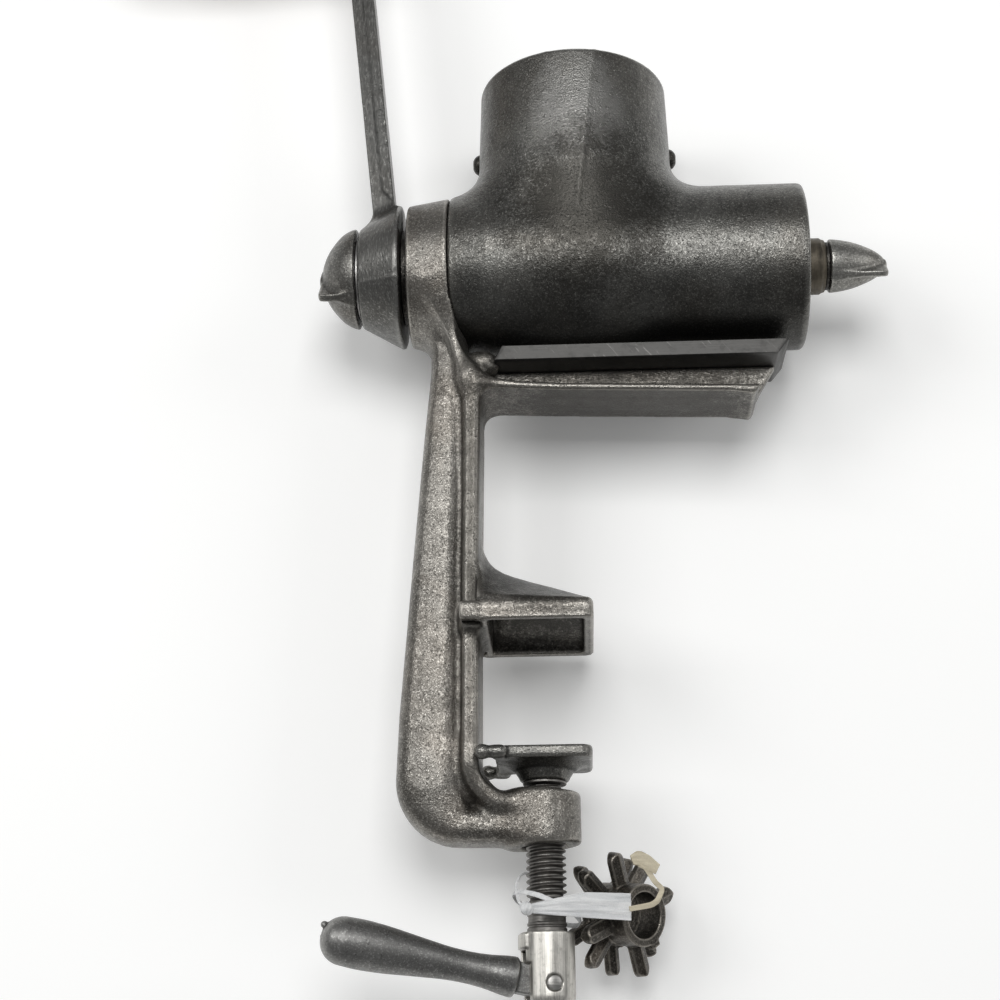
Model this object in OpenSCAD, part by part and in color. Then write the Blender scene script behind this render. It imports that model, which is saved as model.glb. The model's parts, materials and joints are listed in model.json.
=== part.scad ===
// Clamp-on kitchen meat grinder with its three loose cutters tied to the clamp screw.
// Origin: middle of the rear rim of the upper jaw, on the face that rests on the table top.
// +Z up, +X towards the grinder's mouth, the crank at the -X end.

/* [Barrel and hopper] */
// Height of the barrel axis above the upper jaw's face
axis_z = 132.4; // [130:0.2:136]
// Outer radius of the barrel
barrel_r = 29.1; // [28.5:0.1:29.6]
// Outer radius of the barrel's rear rim, from which it widens
barrel_rear_r = 27.4; // [27:0.1:28]
// Wall of the barrel
barrel_wall = 4; // [3.6:0.1:4.4]
// Rear end of the barrel, where it meets the stand's collar
barrel_x0 = -11; // [-11.4:0.1:-10.8]
// Front end of the barrel
barrel_x1 = 111.8; // [110:0.2:114]
// Axis of the hopper, measured along the barrel
hopper_x = 33.2; // [32:0.2:34]
// Outer radius of the hopper at its rim
hopper_rim_r = 33.4; // [32.5:0.1:34]
// Outer radius of the hopper just above the barrel
hopper_foot_r = 34.4; // [34:0.1:35]
// Inner radius of the hopper
hopper_bore_r = 30.8; // [30:0.1:31]
// Height of the hopper's rim above the barrel axis
hopper_h = 70.6; // [68:0.2:73]
// Half width of the foot rail under the barrel
rail_half_w = 13; // [12:0.5:14]

/* [Stand] */
// Width of the upper jaw along the table edge
jaw_w = 51; // [48:1:54]
// Reach of the upper jaw from the leg
jaw_l = 37.2; // [34:0.2:40]
// Height of the jaw's rim
jaw_rim_h = 6; // [5:0.5:7]
// Thickness of the jaw's rim
jaw_wall = 3.2; // [3:0.1:4]
// Width of the leg's round outer bar
bar_w = 24; // [22:1:26]
// Width of the leg's flat inner flange
flange_w = 30; // [28:1:31]
// Thickness of the leg's inner flange
flange_t = 4.5; // [4:0.5:5]
// Width of the tray arm's flange
arm_w = 27; // [24:1:28]
// Thickness of the web
web_t = 4.4; // [4:0.2:5]
// Outer radius of the clamp boss
boss_r = 11.4; // [11:0.1:12]
// Top of the clamp boss
boss_top_z = -51.5; // [-52:0.1:-51]
// Bottom of the clamp boss
boss_bottom_z = -67.9; // [-69:0.1:-67]

/* [Clamp] */
// Axis of the clamp screw, measured from the leg's face
screw_x = 18.7; // [18:0.1:20]
// Outer radius of the screw's thread, half of half an inch
screw_r = 6.35; // [6.2:0.05:6.4]
// Pitch of the thread, twelve to the inch
screw_pitch = 2.1167; // [2:0.0001:2.2]
// Width of the square pad
pad_w = 31.7; // [30:0.1:33]
// Thickness of the pad
pad_t = 4; // [3.5:0.1:4.5]
// Top of the pad with the clamp fully open
pad_top_z = -38.4; // [-39:0.1:-38]
// Outer radius of the turned sleeve
sleeve_r = 8.55; // [8.3:0.05:8.8]
// Top of the sleeve
sleeve_top_z = -95; // [-95.5:0.1:-94.5]
// Bottom of the sleeve
sleeve_bottom_z = -119.6; // [-121:0.1:-119]
// Height of the lever's pivot
pivot_z = -110.6; // [-111:0.1:-110]
// Length of the lever from its pivot
lever_l = 72.4; // [68:0.2:76]
// Rise of the lever above the horizontal
lever_rise = 11; // [9:1:12]
// Turn of the sleeve and lever about the screw
screw_turn = 15; // [10:1:20]

/* [Crank] */
// Distance from the barrel axis to the grip's axis
crank_r = 160; // [150:1:165]
// Lean of the crank arm away from the barrel
crank_lean = 5.8; // [5:0.1:6.4]
// Turn of the two nuts' wings about the barrel axis
wing_turn = 48; // [0:1:90]
// Length of the wooden grip
grip_l = 88; // [80:1:95]
// Largest radius of the wooden grip
grip_r = 14.5; // [13:0.5:15]

/* [Cutters] */
// Reach of the cutters' prongs
prong_reach = 20.4; // [19:0.2:20.6]
// Outer radius of the cutters' hub rings
ring_r = 9.8; // [9.5:0.1:10.2]

/* [Hidden] */

$fn = 64;
hull_fn = 32;
run_gap = 0.06;             // running clearance of a shaft in its hole
body_gap = 0.3;             // space between curved faces of different bodies

cast_grey = [0.36, 0.35, 0.34];
dark_iron = [0.24, 0.23, 0.22];
bright_steel = [0.7, 0.69, 0.66];
bronze = [0.45, 0.36, 0.25];
wood = [0.42, 0.26, 0.15];

leg_face_x = -1.6;
crease_x = leg_face_x - flange_t;
jaw_x1 = leg_face_x + jaw_l;
barrel_bore_r = barrel_r - barrel_wall;
barrel_l = barrel_x1 - barrel_x0;
barrel_back_t = 5;
flare_l = 13;               // length over which the barrel widens from its rear rim
end_round = 2.5;            // rounding of the barrel's front edge
collar_x0 = -25.5;
collar_r0 = 25;
collar_r1 = 27.3;
spigot_r = 18.9;
spigot_l = 6;
bush_r = 12;
shaft_r = 9.5;
front_hub_r = 9.9;
front_bush_r = 7;
front_stud_r = 5.5;
front_hub_x1 = 113.6;
front_flange_x1 = 119.7;
rail_z0 = axis_z - 38.3;
rail_z1 = axis_z - 32.6;
rail_x0 = 4.2;
rail_x1 = 100.4;
keel_w = 8;                 // width of the keel between the barrel and its rail
arm_x1 = 92.6;
arm_z0 = 84.6;
arm_z1 = 80.9;
arm_t = 3;
hub_x0 = -43;
hub_x1 = -28;
hub_r0 = 17.4;
hub_r1 = 25.1;
crank_base_x = -35.5;       // middle of the crank arm, 30 mm above the barrel axis
crank_half_x = 4;
eye_r = 9.5;
rear_nut_r = 17.8;
rear_nut_l = 12.9;
front_nut_r = 9.4;
front_nut_l = 20.4;
square_half = 5.5;
nut_stud_l = 9;
spigot_top_r = 4;
tenon_r = 5;
pin_r = 2.5;
slot_w = 6.4;
tongue_t = 6;
neck_z = -85;
ledge_r = 9.2;
star_t = 4.2;
cutter_t = 4.55;
lug_h = 3;
ring_wall = 2.6;
bundle_pos = [41.1, 15, -87.9];
strap_r = 10.9;
strap_t = 0.7;
strap_w = 2.4;
strap_z = -87.6;
strap_tilt = 25;
tag_t = 1;

// Turns a shape built along +Z so that it lies along +X, with its foot at x
module along_x(x, z = 0) {
    translate([x, 0, z]) rotate([0, 90, 0]) children();
}

// Plate drawn in the X-Z plane, centred on y = 0
module side_plate(w) {
    rotate([90, 0, 0]) linear_extrude(w, center = true) children();
}

// Points of an arc from angle a0 to a1
function arc(cx, cz, r, a0, a1, n = 8) =
    [for (i = [0:n]) let (a = a0 + (a1 - a0) * i / n) [cx + r * cos(a), cz + r * sin(a)]];

// Flat slice of the leg's bar: round outside, flat where it meets the flange
module bar_slice(x0, x1, z, tilt = 0) {
    depth = x1 - x0;
    translate([x1, 0, z]) rotate([0, tilt, 0]) linear_extrude(0.5, center = true) {
        translate([-depth * 0.45, 0]) resize([depth * 1.1, bar_w]) circle(r = 10, $fn = hull_fn);
        translate([-depth * 0.45, -bar_w / 2 + 1.5]) square([depth * 0.45, bar_w - 3]);
    }
}

module leg_bar() {
    hull() {
        bar_slice(-18, crease_x, 114);
        bar_slice(-27.5, crease_x - 0.5, -20);
    }
    hull() {
        bar_slice(-27.5, crease_x - 0.5, -20);
        bar_slice(-28.7, crease_x, -45);
    }
    hull() {
        bar_slice(-28.7, crease_x, -45);
        translate([-17, 0, -57.2]) rotate([90, 0, 0]) cylinder(r = 10.9, h = bar_w - 6, center = true, $fn = hull_fn);
        translate([5, 0, -61]) rotate([90, 0, 0]) cylinder(r = 7.1, h = bar_w - 5, center = true, $fn = hull_fn);
    }
    side_plate(bar_w - 6) polygon([[4, -53.9], [4, -68.1], [screw_x, -67.2], [screw_x, -54]]);
}

// Inner flange: down the leg's face and round on to the boss, out along the tray arm
module flanges() {
    side_plate(flange_w) polygon(concat(
        [[crease_x, 92], [crease_x, -44]],
        arc(crease_x + 11, -44, 11, 180, 262, 8),
        [[10, -55.5], [12, -51.2]],
        arc(leg_face_x + 9.5, -41.7, 9.5, 262, 180, 8),
        [[leg_face_x, 76]]));
    side_plate(arm_w) polygon(concat(
        [[crease_x, 84]],
        arc(leg_face_x + 9, arm_z0 - 9, 9, 180, 92, 8),
        [[arm_x1, arm_z1], [arm_x1 + 1.6, arm_z1 + arm_t], [8, arm_z0 + arm_t], [crease_x, arm_z0 + 9]]));
    side_plate(arm_w - 5) polygon([[crease_x - 1, 84], [-17, 112], [-12.2, 112], [1, 89], [4, 86]]);
}

module web() {
    side_plate(web_t) polygon([
        [-14, 108], [-12.5, 104], [0.3, rail_z0], [rail_x1, rail_z0],
        [arm_x1, arm_z1 + 0.5], [8, arm_z0 + 1], [crease_x, 84]]);
    translate([-3, -7, 91]) cube([3.4, 14, 9.5]);
}

// Recesses under the jaw's ears, which run on into its rear wall
module ear_hollows() {
    for (s = [-1, 1]) translate([crease_x - 2, s > 0 ? flange_w / 2 + 1 : -jaw_w / 2 + jaw_wall, -1])
        cube([8, (jaw_w - flange_w) / 2 - jaw_wall - 1, jaw_rim_h - 0.5]);
}

// The jaw's ears reach back round the leg's flange
module jaw_ears() {
    difference() {
        for (s = [-1, 1]) translate([crease_x - 1, s > 0 ? flange_w / 2 - 1 : -jaw_w / 2, 0])
            cube([flange_t + 1, (jaw_w - flange_w) / 2 + 1, jaw_rim_h]);
        ear_hollows();
    }
}

// Jaw with a cored underside, from the leg's face outwards; one casting with the stand
module upper_jaw() {
    color(cast_grey) difference() {
        union() {
            hull() {
                translate([leg_face_x, -jaw_w / 2 + 2, 0]) cube([jaw_l - 3, jaw_w - 4, jaw_rim_h]);
                translate([leg_face_x, -jaw_w / 2, 0]) cube([jaw_l - 5, jaw_w, jaw_rim_h - 1.5]);
                translate([jaw_x1 - 3, -jaw_w / 2 + 3, 0]) cube([3, jaw_w - 6, jaw_rim_h + 4]);
                translate([leg_face_x, -4, 0]) cube([6, 8, 24]);
                translate([leg_face_x, -2, 0]) cube([jaw_l - 3, 4, 13]);
            }
            side_plate(10) polygon([[leg_face_x, 33], [1, 27.8], [4.6, 24.3],
                [11, 21.2], [24, 17], [jaw_x1 - 4, 13], [jaw_x1 - 4, 8], [leg_face_x, 8]]);
        }
        translate([leg_face_x + jaw_wall, -jaw_w / 2 + jaw_wall, -1])
            cube([jaw_l - 2 * jaw_wall, jaw_w - 2 * jaw_wall, jaw_rim_h - 0.5]);
        translate([leg_face_x + jaw_wall, -10, -1]) cube([jaw_l - 2 * jaw_wall - 4, 20, 9]);
        ear_hollows();
    }
}

module collar() {
    difference() {
        along_x(collar_x0, axis_z) cylinder(r1 = collar_r0, r2 = collar_r1, h = barrel_x0 - collar_x0);
        along_x(collar_x0 - 1, axis_z) cylinder(r = bush_r, h = 30);
        along_x(barrel_x0 - spigot_l - 0.2, axis_z) cylinder(r = spigot_r + 0.1, h = 20);
    }
}

module frame_stand() {
    color(cast_grey) difference() {
        union() {
            difference() {
                union() { leg_bar(); flanges(); web(); }
                along_x(collar_x0 - 12, axis_z) cylinder(r = collar_r0 - 2, h = 50);
                barrel_outside(0.05);
            }
            collar();
            jaw_ears();
            translate([screw_x, 0, boss_bottom_z]) cylinder(r = boss_r, h = boss_top_z - boss_bottom_z);
        }
        translate([screw_x, 0, boss_bottom_z - 1]) cylinder(r = screw_r + run_gap, h = 20);
        translate([screw_x, 0, boss_bottom_z - 0.01]) cylinder(r1 = screw_r + 1.6, r2 = screw_r, h = 1.6);
    }
}

module ellipse_slice(rx, ry, z) {
    translate([hopper_x, 0, axis_z + z]) linear_extrude(0.5) resize([2 * rx, 2 * ry]) circle(r = 20, $fn = 64);
}

// Barrel as a solid of revolution, grown outwards where a neighbour has to clear it
module barrel_outside(grow = 0) {
    r = barrel_r + grow;
    along_x(barrel_x0, axis_z) rotate_extrude() polygon(concat(
        [[0, 0], [barrel_rear_r + grow, 0], [r, flare_l]],
        arc(r - end_round, barrel_l - end_round, end_round, 0, 90, 5),
        [[0, barrel_l]]));
}

// The slices under a round part are a little smaller than it, so that no corner lies on its face
module hopper_outside() {
    translate([hopper_x, 0, axis_z + 39])
        cylinder(r1 = hopper_foot_r, r2 = hopper_rim_r, h = hopper_h - 39);
    hull() {
        ellipse_slice(hopper_foot_r - 0.15, hopper_foot_r - 0.15, 39.6);
        ellipse_slice(hopper_foot_r + 0.6, barrel_r - 1, 4);
    }
    hull() {
        ellipse_slice(hopper_foot_r - 0.25, hopper_foot_r - 0.25, 39.3);
        ellipse_slice(hopper_foot_r + 7.5, 9, 27.6);
    }
}

module hopper_inside() {
    translate([hopper_x, 0, axis_z + 35]) cylinder(r = hopper_bore_r, h = 60);
    hull() {
        ellipse_slice(hopper_bore_r - 0.2, hopper_bore_r - 0.2, 35);
        ellipse_slice(hopper_bore_r - 2, barrel_bore_r - 0.6, 3);
    }
}

module front_spider() {
    along_x(barrel_x1 - 6.5, axis_z) {
        cylinder(r = front_hub_r, h = front_hub_x1 - barrel_x1 + 6.5);
        for (a = [60, 180, 300]) rotate([0, 0, a]) translate([8, -3, 0]) cube([barrel_bore_r - 7, 6, 6]);
    }
}

module hopper_barrel() {
    color(cast_grey) {
        difference() {
            union() {
                barrel_outside();
                along_x(barrel_x0 - spigot_l, axis_z) cylinder(r = spigot_r, h = spigot_l + 1);
                hopper_outside();
                side_plate(2 * rail_half_w) polygon([[rail_x0, rail_z0], [rail_x0 + 2.8, rail_z1],
                    [rail_x1 + 3.8, rail_z1], [rail_x1, rail_z0]]);
                side_plate(keel_w) polygon([[8, rail_z1 - 0.5], [8, axis_z - 20],
                    [rail_x1, axis_z - 20], [rail_x1, rail_z1 - 0.5]]);
                for (s = [-1, 1]) translate([hopper_x + s * (hopper_foot_r - 1), 4, axis_z + 46.6])
                    rotate([0, s * 90, 0]) cylinder(r = 3.4, h = 3.2);
            }
            hopper_inside();
            along_x(barrel_x0 + barrel_back_t, axis_z) cylinder(r = barrel_bore_r, h = 200);
            along_x(barrel_x0 - 20, axis_z) cylinder(r = shaft_r + run_gap, h = 60);
        }
        difference() {
            front_spider();
            along_x(0, axis_z) cylinder(r = front_bush_r, h = 150);
        }
    }
}

module rear_bush() {
    color(bronze) difference() {
        along_x(collar_x0, axis_z) cylinder(r = bush_r, h = barrel_x0 - spigot_l - 0.3 - collar_x0);
        along_x(collar_x0 - 1, axis_z) cylinder(r = shaft_r + run_gap, h = 30);
    }
}

module front_bush() {
    color(bronze) difference() {
        union() {
            along_x(barrel_x1 - 6, axis_z) cylinder(r = front_bush_r, h = 12);
            along_x(front_hub_x1, axis_z) cylinder(r = front_hub_r, h = front_flange_x1 - front_hub_x1 - 1);
            along_x(front_flange_x1 - 1, axis_z) cylinder(r1 = front_hub_r, r2 = front_hub_r - 0.8, h = 1);
        }
        along_x(0, axis_z) cylinder(r = front_stud_r + run_gap, h = 150);
    }
}

// Conveyor: round core with one helical blade, a shaft at the rear and a stud at the front
module feed_screw() {
    core_x0 = barrel_x0 + barrel_back_t + 0.5;
    core_x1 = barrel_x1 - 6.6;
    blade_r = barrel_bore_r - 0.5;
    color(cast_grey) {
        along_x(hub_x0 - nut_stud_l, axis_z) cylinder(r = 4, h = 12);
        along_x(hub_x0, axis_z) translate([-square_half, -square_half, 0.5])
            cube([2 * square_half, 2 * square_half, hub_x1 - hub_x0 - 0.6]);
        along_x(hub_x1 - 0.2, axis_z) cylinder(r = shaft_r, h = core_x0 - hub_x1 + 1);
        along_x(core_x0, axis_z) cylinder(r = 20, h = 3);
        along_x(core_x0 + 2, axis_z) cylinder(r1 = 9.5, r2 = 12, h = core_x1 - core_x0 - 2);
        along_x(core_x1 - 1, axis_z) cylinder(r = front_stud_r, h = front_flange_x1 + 1.4 - core_x1);
        along_x(front_flange_x1, axis_z) cylinder(r = 3.2, h = 12);
        along_x(core_x0 + 2, axis_z) linear_extrude(core_x1 - core_x0 - 2, twist = -1170, slices = 72, $fn = 5)
            polygon([[4, -3.2], [blade_r, -2.2], [blade_r, 2.2], [4, 3.2]]);
    }
}

module thrust_washer() {
    color(dark_iron) difference() {
        along_x(hub_x1 + 0.05, axis_z) cylinder(r = 17, h = collar_x0 - hub_x1 - 0.1);
        along_x(hub_x1 - 1, axis_z) cylinder(r = shaft_r + run_gap, h = 10);
    }
}

// Position of the crank arm's middle plane at a height above the barrel axis
function arm_x(z) = crank_base_x - (z - 30) * tan(crank_lean);

module crank() {
    eye_x = arm_x(crank_r);
    color(cast_grey) difference() {
        union() {
            along_x(hub_x0, axis_z) cylinder(r1 = hub_r0, r2 = hub_r1, h = hub_x1 - hub_x0 - 1.2);
            along_x(hub_x1 - 1.2, axis_z) cylinder(r = hub_r1, h = 1.2);
            translate([0, 0, axis_z]) hull() {
                translate([arm_x(12) - crank_half_x, -8, 12]) cube([2 * crank_half_x, 16, 1]);
                translate([arm_x(crank_r - 8) - crank_half_x, -6, crank_r - 8]) cube([2 * crank_half_x, 12, 1]);
            }
            translate([eye_x, 0, axis_z + crank_r]) rotate([0, 90, 0]) cylinder(r = eye_r, h = 10, center = true);
        }
        for (s = [-1, 1]) translate([0, s * 10.8, axis_z])
            side_plate(8) polygon([
                [arm_x(32), 32], [arm_x(27) + crank_half_x - 0.6, 27],
                [arm_x(crank_r - 16) + crank_half_x - 0.6, crank_r - 16], [arm_x(crank_r - 16), crank_r - 16]]);
        along_x(hub_x0 - 1, axis_z) translate([-square_half - 0.05, -square_half - 0.05, 0])
            cube([2 * square_half + 0.1, 2 * square_half + 0.1, hub_x1 - hub_x0 - 1]);
        along_x(hub_x1 - 3, axis_z) cylinder(r = shaft_r + 0.05, h = 10);
        translate([eye_x, 0, axis_z + crank_r]) rotate([0, 90, 0]) cylinder(r = 3.3, h = 30, center = true);
    }
}

module crank_washer() {
    color(bright_steel) difference() {
        along_x(hub_x0 - 1, axis_z) cylinder(r = 14, h = 1);
        along_x(hub_x0 - 2, axis_z) cylinder(r = 8, h = 4);
    }
}

// Pointed nut: a round nose with two flat wings, scooped above and below
module nose_nut(r, l, tip_r, fin_t, fin_r) {
    rotate_extrude() polygon(concat([[0, 0], [r, 0]],
        [for (i = [0:10]) let (t = i / 10) [tip_r + (r - tip_r) * sqrt(1 - t * t), l * (0.12 + 0.88 * t)]],
        [[0, l]]));
    rotate([0, 0, 90]) rotate([90, 0, 0]) linear_extrude(fin_t, center = true)
        polygon([[-r * 0.9, 1], [-fin_r, l * 0.9], [-fin_r + 2, l], [fin_r - 2, l], [fin_r, l * 0.9], [r * 0.9, 1]]);
}

module crank_nut() {
    color(cast_grey) difference() {
        translate([hub_x0 - 1.1, 0, axis_z]) rotate([wing_turn, 0, 0]) rotate([0, -90, 0])
            nose_nut(rear_nut_r, rear_nut_l, 7.5, 3.4, 12.6);
        along_x(hub_x0 - nut_stud_l - 0.6, axis_z) cylinder(r = 4 + run_gap, h = 20);
    }
}

module front_washer() {
    color(dark_iron) difference() {
        along_x(front_flange_x1 + 0.05, axis_z) cylinder(r = 8.4, h = 1.3);
        along_x(front_flange_x1 - 1, axis_z) cylinder(r = front_stud_r + run_gap, h = 5);
    }
}

module front_wing_nut() {
    color(cast_grey) difference() {
        translate([front_flange_x1 + 1.45, 0, axis_z]) rotate([wing_turn, 0, 0]) rotate([0, 90, 0])
            nose_nut(front_nut_r, front_nut_l, 2.6, 3.2, 8.4);
        along_x(front_flange_x1, axis_z) cylinder(r = 3.2 + run_gap, h = 12.4);
        along_x(front_flange_x1, axis_z) cylinder(r = front_stud_r + 0.1, h = 1.8);
    }
}

// Turned grip: round shoulder, waist, belly and a domed end
function grip_radius(t) =
    let (belly = 0.5 - 0.5 * cos(360 * min(1, max(0, (t - 0.12) / 1.04))))
    let (dome = sqrt(max(0.02, 1 - pow(max(0, (t - 0.86) / 0.14), 2))))
    (9.4 + (grip_r - 9.4) * belly) * dome;

module crank_grip() {
    color(wood) translate([arm_x(crank_r) - 6.2, 0, axis_z + crank_r]) rotate([0, -90, 0]) difference() {
        rotate_extrude() polygon(concat([[0, 0]],
            [for (i = [0:24]) [grip_radius(i / 24), grip_l * i / 24]], [[0, grip_l]]));
        translate([0, 0, -1]) cylinder(r = 3.2 + 0.08, h = grip_l + 2);
        translate([0, 0, grip_l - 4.4]) cylinder(r = 7, h = 6);
    }
}

module grip_pin() {
    color(bright_steel) translate([arm_x(crank_r), 0, axis_z + crank_r]) rotate([0, -90, 0]) {
        translate([0, 0, -6.6]) cylinder(r = 3.2, h = grip_l + 8);
        translate([0, 0, -7.6]) cylinder(r1 = 4, r2 = 5.2, h = 2.4);
        translate([0, 0, grip_l + 1.4]) cylinder(r = 3.2, h = 1.5);
        translate([0, 0, grip_l + 2.9]) cylinder(r1 = 5.2, r2 = 4, h = 1.6);
    }
}

module grip_washers() {
    color(bright_steel) translate([arm_x(crank_r), 0, axis_z + crank_r]) rotate([0, -90, 0])
        for (x = [5.05, grip_l + 1.9]) difference() {
            translate([0, 0, x]) cylinder(r = x < 20 ? 9 : 6.6, h = x < 20 ? 1.05 : 0.95);
            translate([0, 0, x - 1]) cylinder(r = 3.27, h = 4);
        }
}

module clamp_pad() {
    r = 5;
    h = pad_w / 2 - r;
    color(cast_grey) difference() {
        union() {
            translate([screw_x, 0, pad_top_z - pad_t]) {
                for (a = [-h, h], b = [-h, h]) translate([a, b, 0]) cylinder(r = r, h = pad_t);
                translate([-h, -pad_w / 2, 0]) cube([2 * h, pad_w, pad_t]);
                translate([-pad_w / 2, -h, 0]) cube([pad_w, 2 * h, pad_t]);
            }
            translate([screw_x, 0, pad_top_z - pad_t - 5.4]) cylinder(r1 = 7.7, r2 = 12, h = 5.4);
            for (s = [-1, 1]) translate([-0.4, s * 17.9, pad_top_z - 2.7]) {
                rotate([0, 90, 0]) cylinder(r = 2.4, h = 5.5);
                sphere(r = 2.4);
                translate([2.5, s > 0 ? -5.4 : -1, -1.3]) cube([4.5, 6.4, 2.6]);
            }
        }
        translate([screw_x, 0, pad_top_z - 20]) cylinder(r = spigot_top_r + run_gap, h = 30);
        translate([screw_x, 0, pad_top_z - 2]) cylinder(r = 6.2, h = 5);
    }
}

module pad_washer() {
    color(bright_steel) difference() {
        translate([screw_x, 0, pad_top_z - 10.4]) cylinder(r = 7, h = 0.9);
        translate([screw_x, 0, pad_top_z - 12]) cylinder(r = spigot_top_r + run_gap, h = 4);
    }
}

module clamp_screw() {
    thread_top = pad_top_z - 10.5;
    rings = floor((thread_top - neck_z) / screw_pitch);
    root_r = screw_r - 1.15;
    color(bright_steel) translate([screw_x, 0, 0]) {
        rotate_extrude() polygon(concat(
            [[0, pad_top_z - 0.3], [5.6, pad_top_z - 0.3], [6, pad_top_z - 0.7], [6, pad_top_z - 1.9],
                [spigot_top_r, pad_top_z - 1.9], [spigot_top_r, thread_top], [root_r, thread_top]],
            [for (i = [0:rings - 1], k = [0:3]) [k == 0 || k == 3 ? root_r : screw_r,
                thread_top - (i + [0.14, 0.42, 0.58, 0.86][k]) * screw_pitch]],
            [[root_r, neck_z], [screw_r - 0.5, neck_z - 0.6], [screw_r - 0.5, -89.4], [screw_r - 0.05, -90],
                [screw_r - 0.05, -92.4], [screw_r - 0.5, -92.7], [screw_r - 0.5, -93.2], [screw_r - 0.05, -93.5],
                [screw_r - 0.05, sleeve_top_z + 0.05], [tenon_r, sleeve_top_z + 0.05],
                [tenon_r, -102.5], [0, -102.5]]));
    }
}

module turned(a = screw_turn) {
    translate([screw_x, 0, 0]) rotate([0, 0, a]) children();
}

module clamp_sleeve() {
    color(bright_steel) turned() difference() {
        rotate_extrude() polygon(concat([[0, sleeve_top_z], [sleeve_r - 0.7, sleeve_top_z], [sleeve_r, sleeve_top_z - 0.7]],
            [for (i = [0:8]) [sleeve_r * cos(i * 10), sleeve_bottom_z + 5 - 5 * sin(i * 10)]], [[0, sleeve_bottom_z]]));
        translate([0, 0, -102.6]) cylinder(r = tenon_r + 0.03, h = 20);
        translate([-30, -slot_w / 2, -130]) cube([36.4, slot_w, 29.5]);
        translate([0, 0, pivot_z]) rotate([90, 0, 0]) cylinder(r = pin_r + 0.03, h = 40, center = true);
        translate([0, 0, sleeve_top_z - 9.4]) translate([-40, -20, -20]) cube([33.4, 40, 20]);
    }
    color(bright_steel) turned() intersection() {
        translate([-ledge_r, -4.5, sleeve_top_z - 5]) cube([4.5, 9, 4.4]);
        translate([0, 0, sleeve_bottom_z]) difference() {
            cylinder(r = ledge_r, h = 40);
            translate([0, 0, -1]) cylinder(r = sleeve_r - 0.5, h = 42);
        }
    }
}

module sleeve_pin() {
    color(bright_steel) turned() translate([0, 0, pivot_z]) rotate([90, 0, 0])
        cylinder(r = pin_r, h = 2 * sleeve_r + 0.4, center = true);
}

// Radius of the lever at a distance from its pivot
function lever_radius(s) =
    let (u = s / lever_l)
    s < 13 ? 6.2 : 4.7 + 1.5 * pow(max(0, (24 - s) / 11), 2)
        + 3.1 * pow(sin(180 * min(1, max(0, (u - 0.33) / 0.9))), 2);

module lever_handle() {
    steps = 26;
    s0 = 10.6;
    nose = 6;
    color(dark_iron) turned() translate([0, 0, pivot_z]) rotate([0, -90 + lever_rise, 0]) difference() {
        union() {
            rotate_extrude() polygon(concat([[0, s0]],
                [for (i = [0:steps]) let (s = s0 + (lever_l - nose - s0) * i / steps) [lever_radius(s), s]],
                [for (a = [15:15:75]) [lever_radius(lever_l - nose) * cos(a), lever_l - nose + nose * sin(a)]],
                [[0, lever_l]]));
            translate([-4.6, -tongue_t / 2, 0]) cube([9.2, tongue_t, 12]);
            rotate([90, 0, 0]) cylinder(r = 5.6, h = tongue_t, center = true);
        }
        rotate([90, 0, 0]) cylinder(r = pin_r + run_gap, h = 30, center = true);
    }
}

// Cutter: star of prongs at the foot, hub ring with a drive lug at its mouth
module cutter(prongs, width, start, ring_h, reach = prong_reach) {
    difference() {
        union() {
            cylinder(r = ring_r, h = ring_h);
            rotate([0, 0, 35]) translate([ring_r - 1.5, -1.8, ring_h - lug_h]) cube([3.2, 3.6, lug_h]);
            for (i = [0:prongs - 1]) rotate([0, 0, start + i * 360 / prongs]) {
                translate([ring_r - 2, -width / 2, 0]) cube([reach - ring_r + 2 - width / 2, width, star_t]);
                translate([reach - width / 2, 0, 0]) cylinder(r = width / 2, h = star_t);
            }
        }
        translate([0, 0, -1]) cylinder(r = ring_r - ring_wall, h = ring_h + 2);
    }
}

// Places a cutter on the bundle's slanting axis, at a distance along it
module bundled(d) {
    translate(bundle_pos) rotate([0, 0, -45]) rotate([0, 97, 0]) translate([0, 0, d]) children();
}

module cutter_coarse() { color(dark_iron) bundled(2.6) cutter(4, 6, 24, 9.4); }
module cutter_medium() { color(dark_iron) bundled(-2) cutter(4, 5.6, 56, cutter_t); }
module cutter_fine() { color(dark_iron) bundled(-6.6) cutter(5, 5, 12, cutter_t, prong_reach - 0.8); }

// Frame of the tie: about the screw, turned so that its end runs to the cutters
module tied() {
    translate([screw_x, 0, strap_z]) rotate([0, 0, 22]) children();
}

// Loose slanting loop round the screw with a knot, and one long end that widens
module tie_strap() {
    outer_r = strap_r + strap_t;
    color("white") tied() {
        rotate([0, strap_tilt, 0]) difference() {
            cylinder(r = outer_r, h = strap_w, center = true);
            cylinder(r = strap_r, h = strap_w + 2, center = true);
        }
        translate([-11.4, -outer_r - 0.8, -1.6]) sphere(r = 2.2);
        translate([0, -outer_r, 0]) rotate([90, 0, 0]) linear_extrude(strap_t)
            polygon([[-11.4, -3], [8, -3.8], [23.6, -4.4], [23.6, 4.2], [8, 4], [-3, 1.6], [-11.4, -0.4]]);
    }
}

// Folded tab of cloth tape with a bent tail that lies on the strap
module tie_tag() {
    color([0.87, 0.84, 0.72]) tied() translate([0, -strap_r - 2 * strap_t - tag_t / 2, 0])
        side_plate(tag_t) polygon([[23, 14], [26, 17.6], [27.6, 17.6], [33.2, 13], [33.2, 10.4], [31.6, 10.4],
            [33.2, 7.4], [35, 5.8], [32.2, 0], [22.2, -1.6], [22.2, 0], [31, 1.6],
            [33.2, 5.2], [31.6, 6], [28.8, 10.9], [24, 12.4]]);
}

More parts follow.
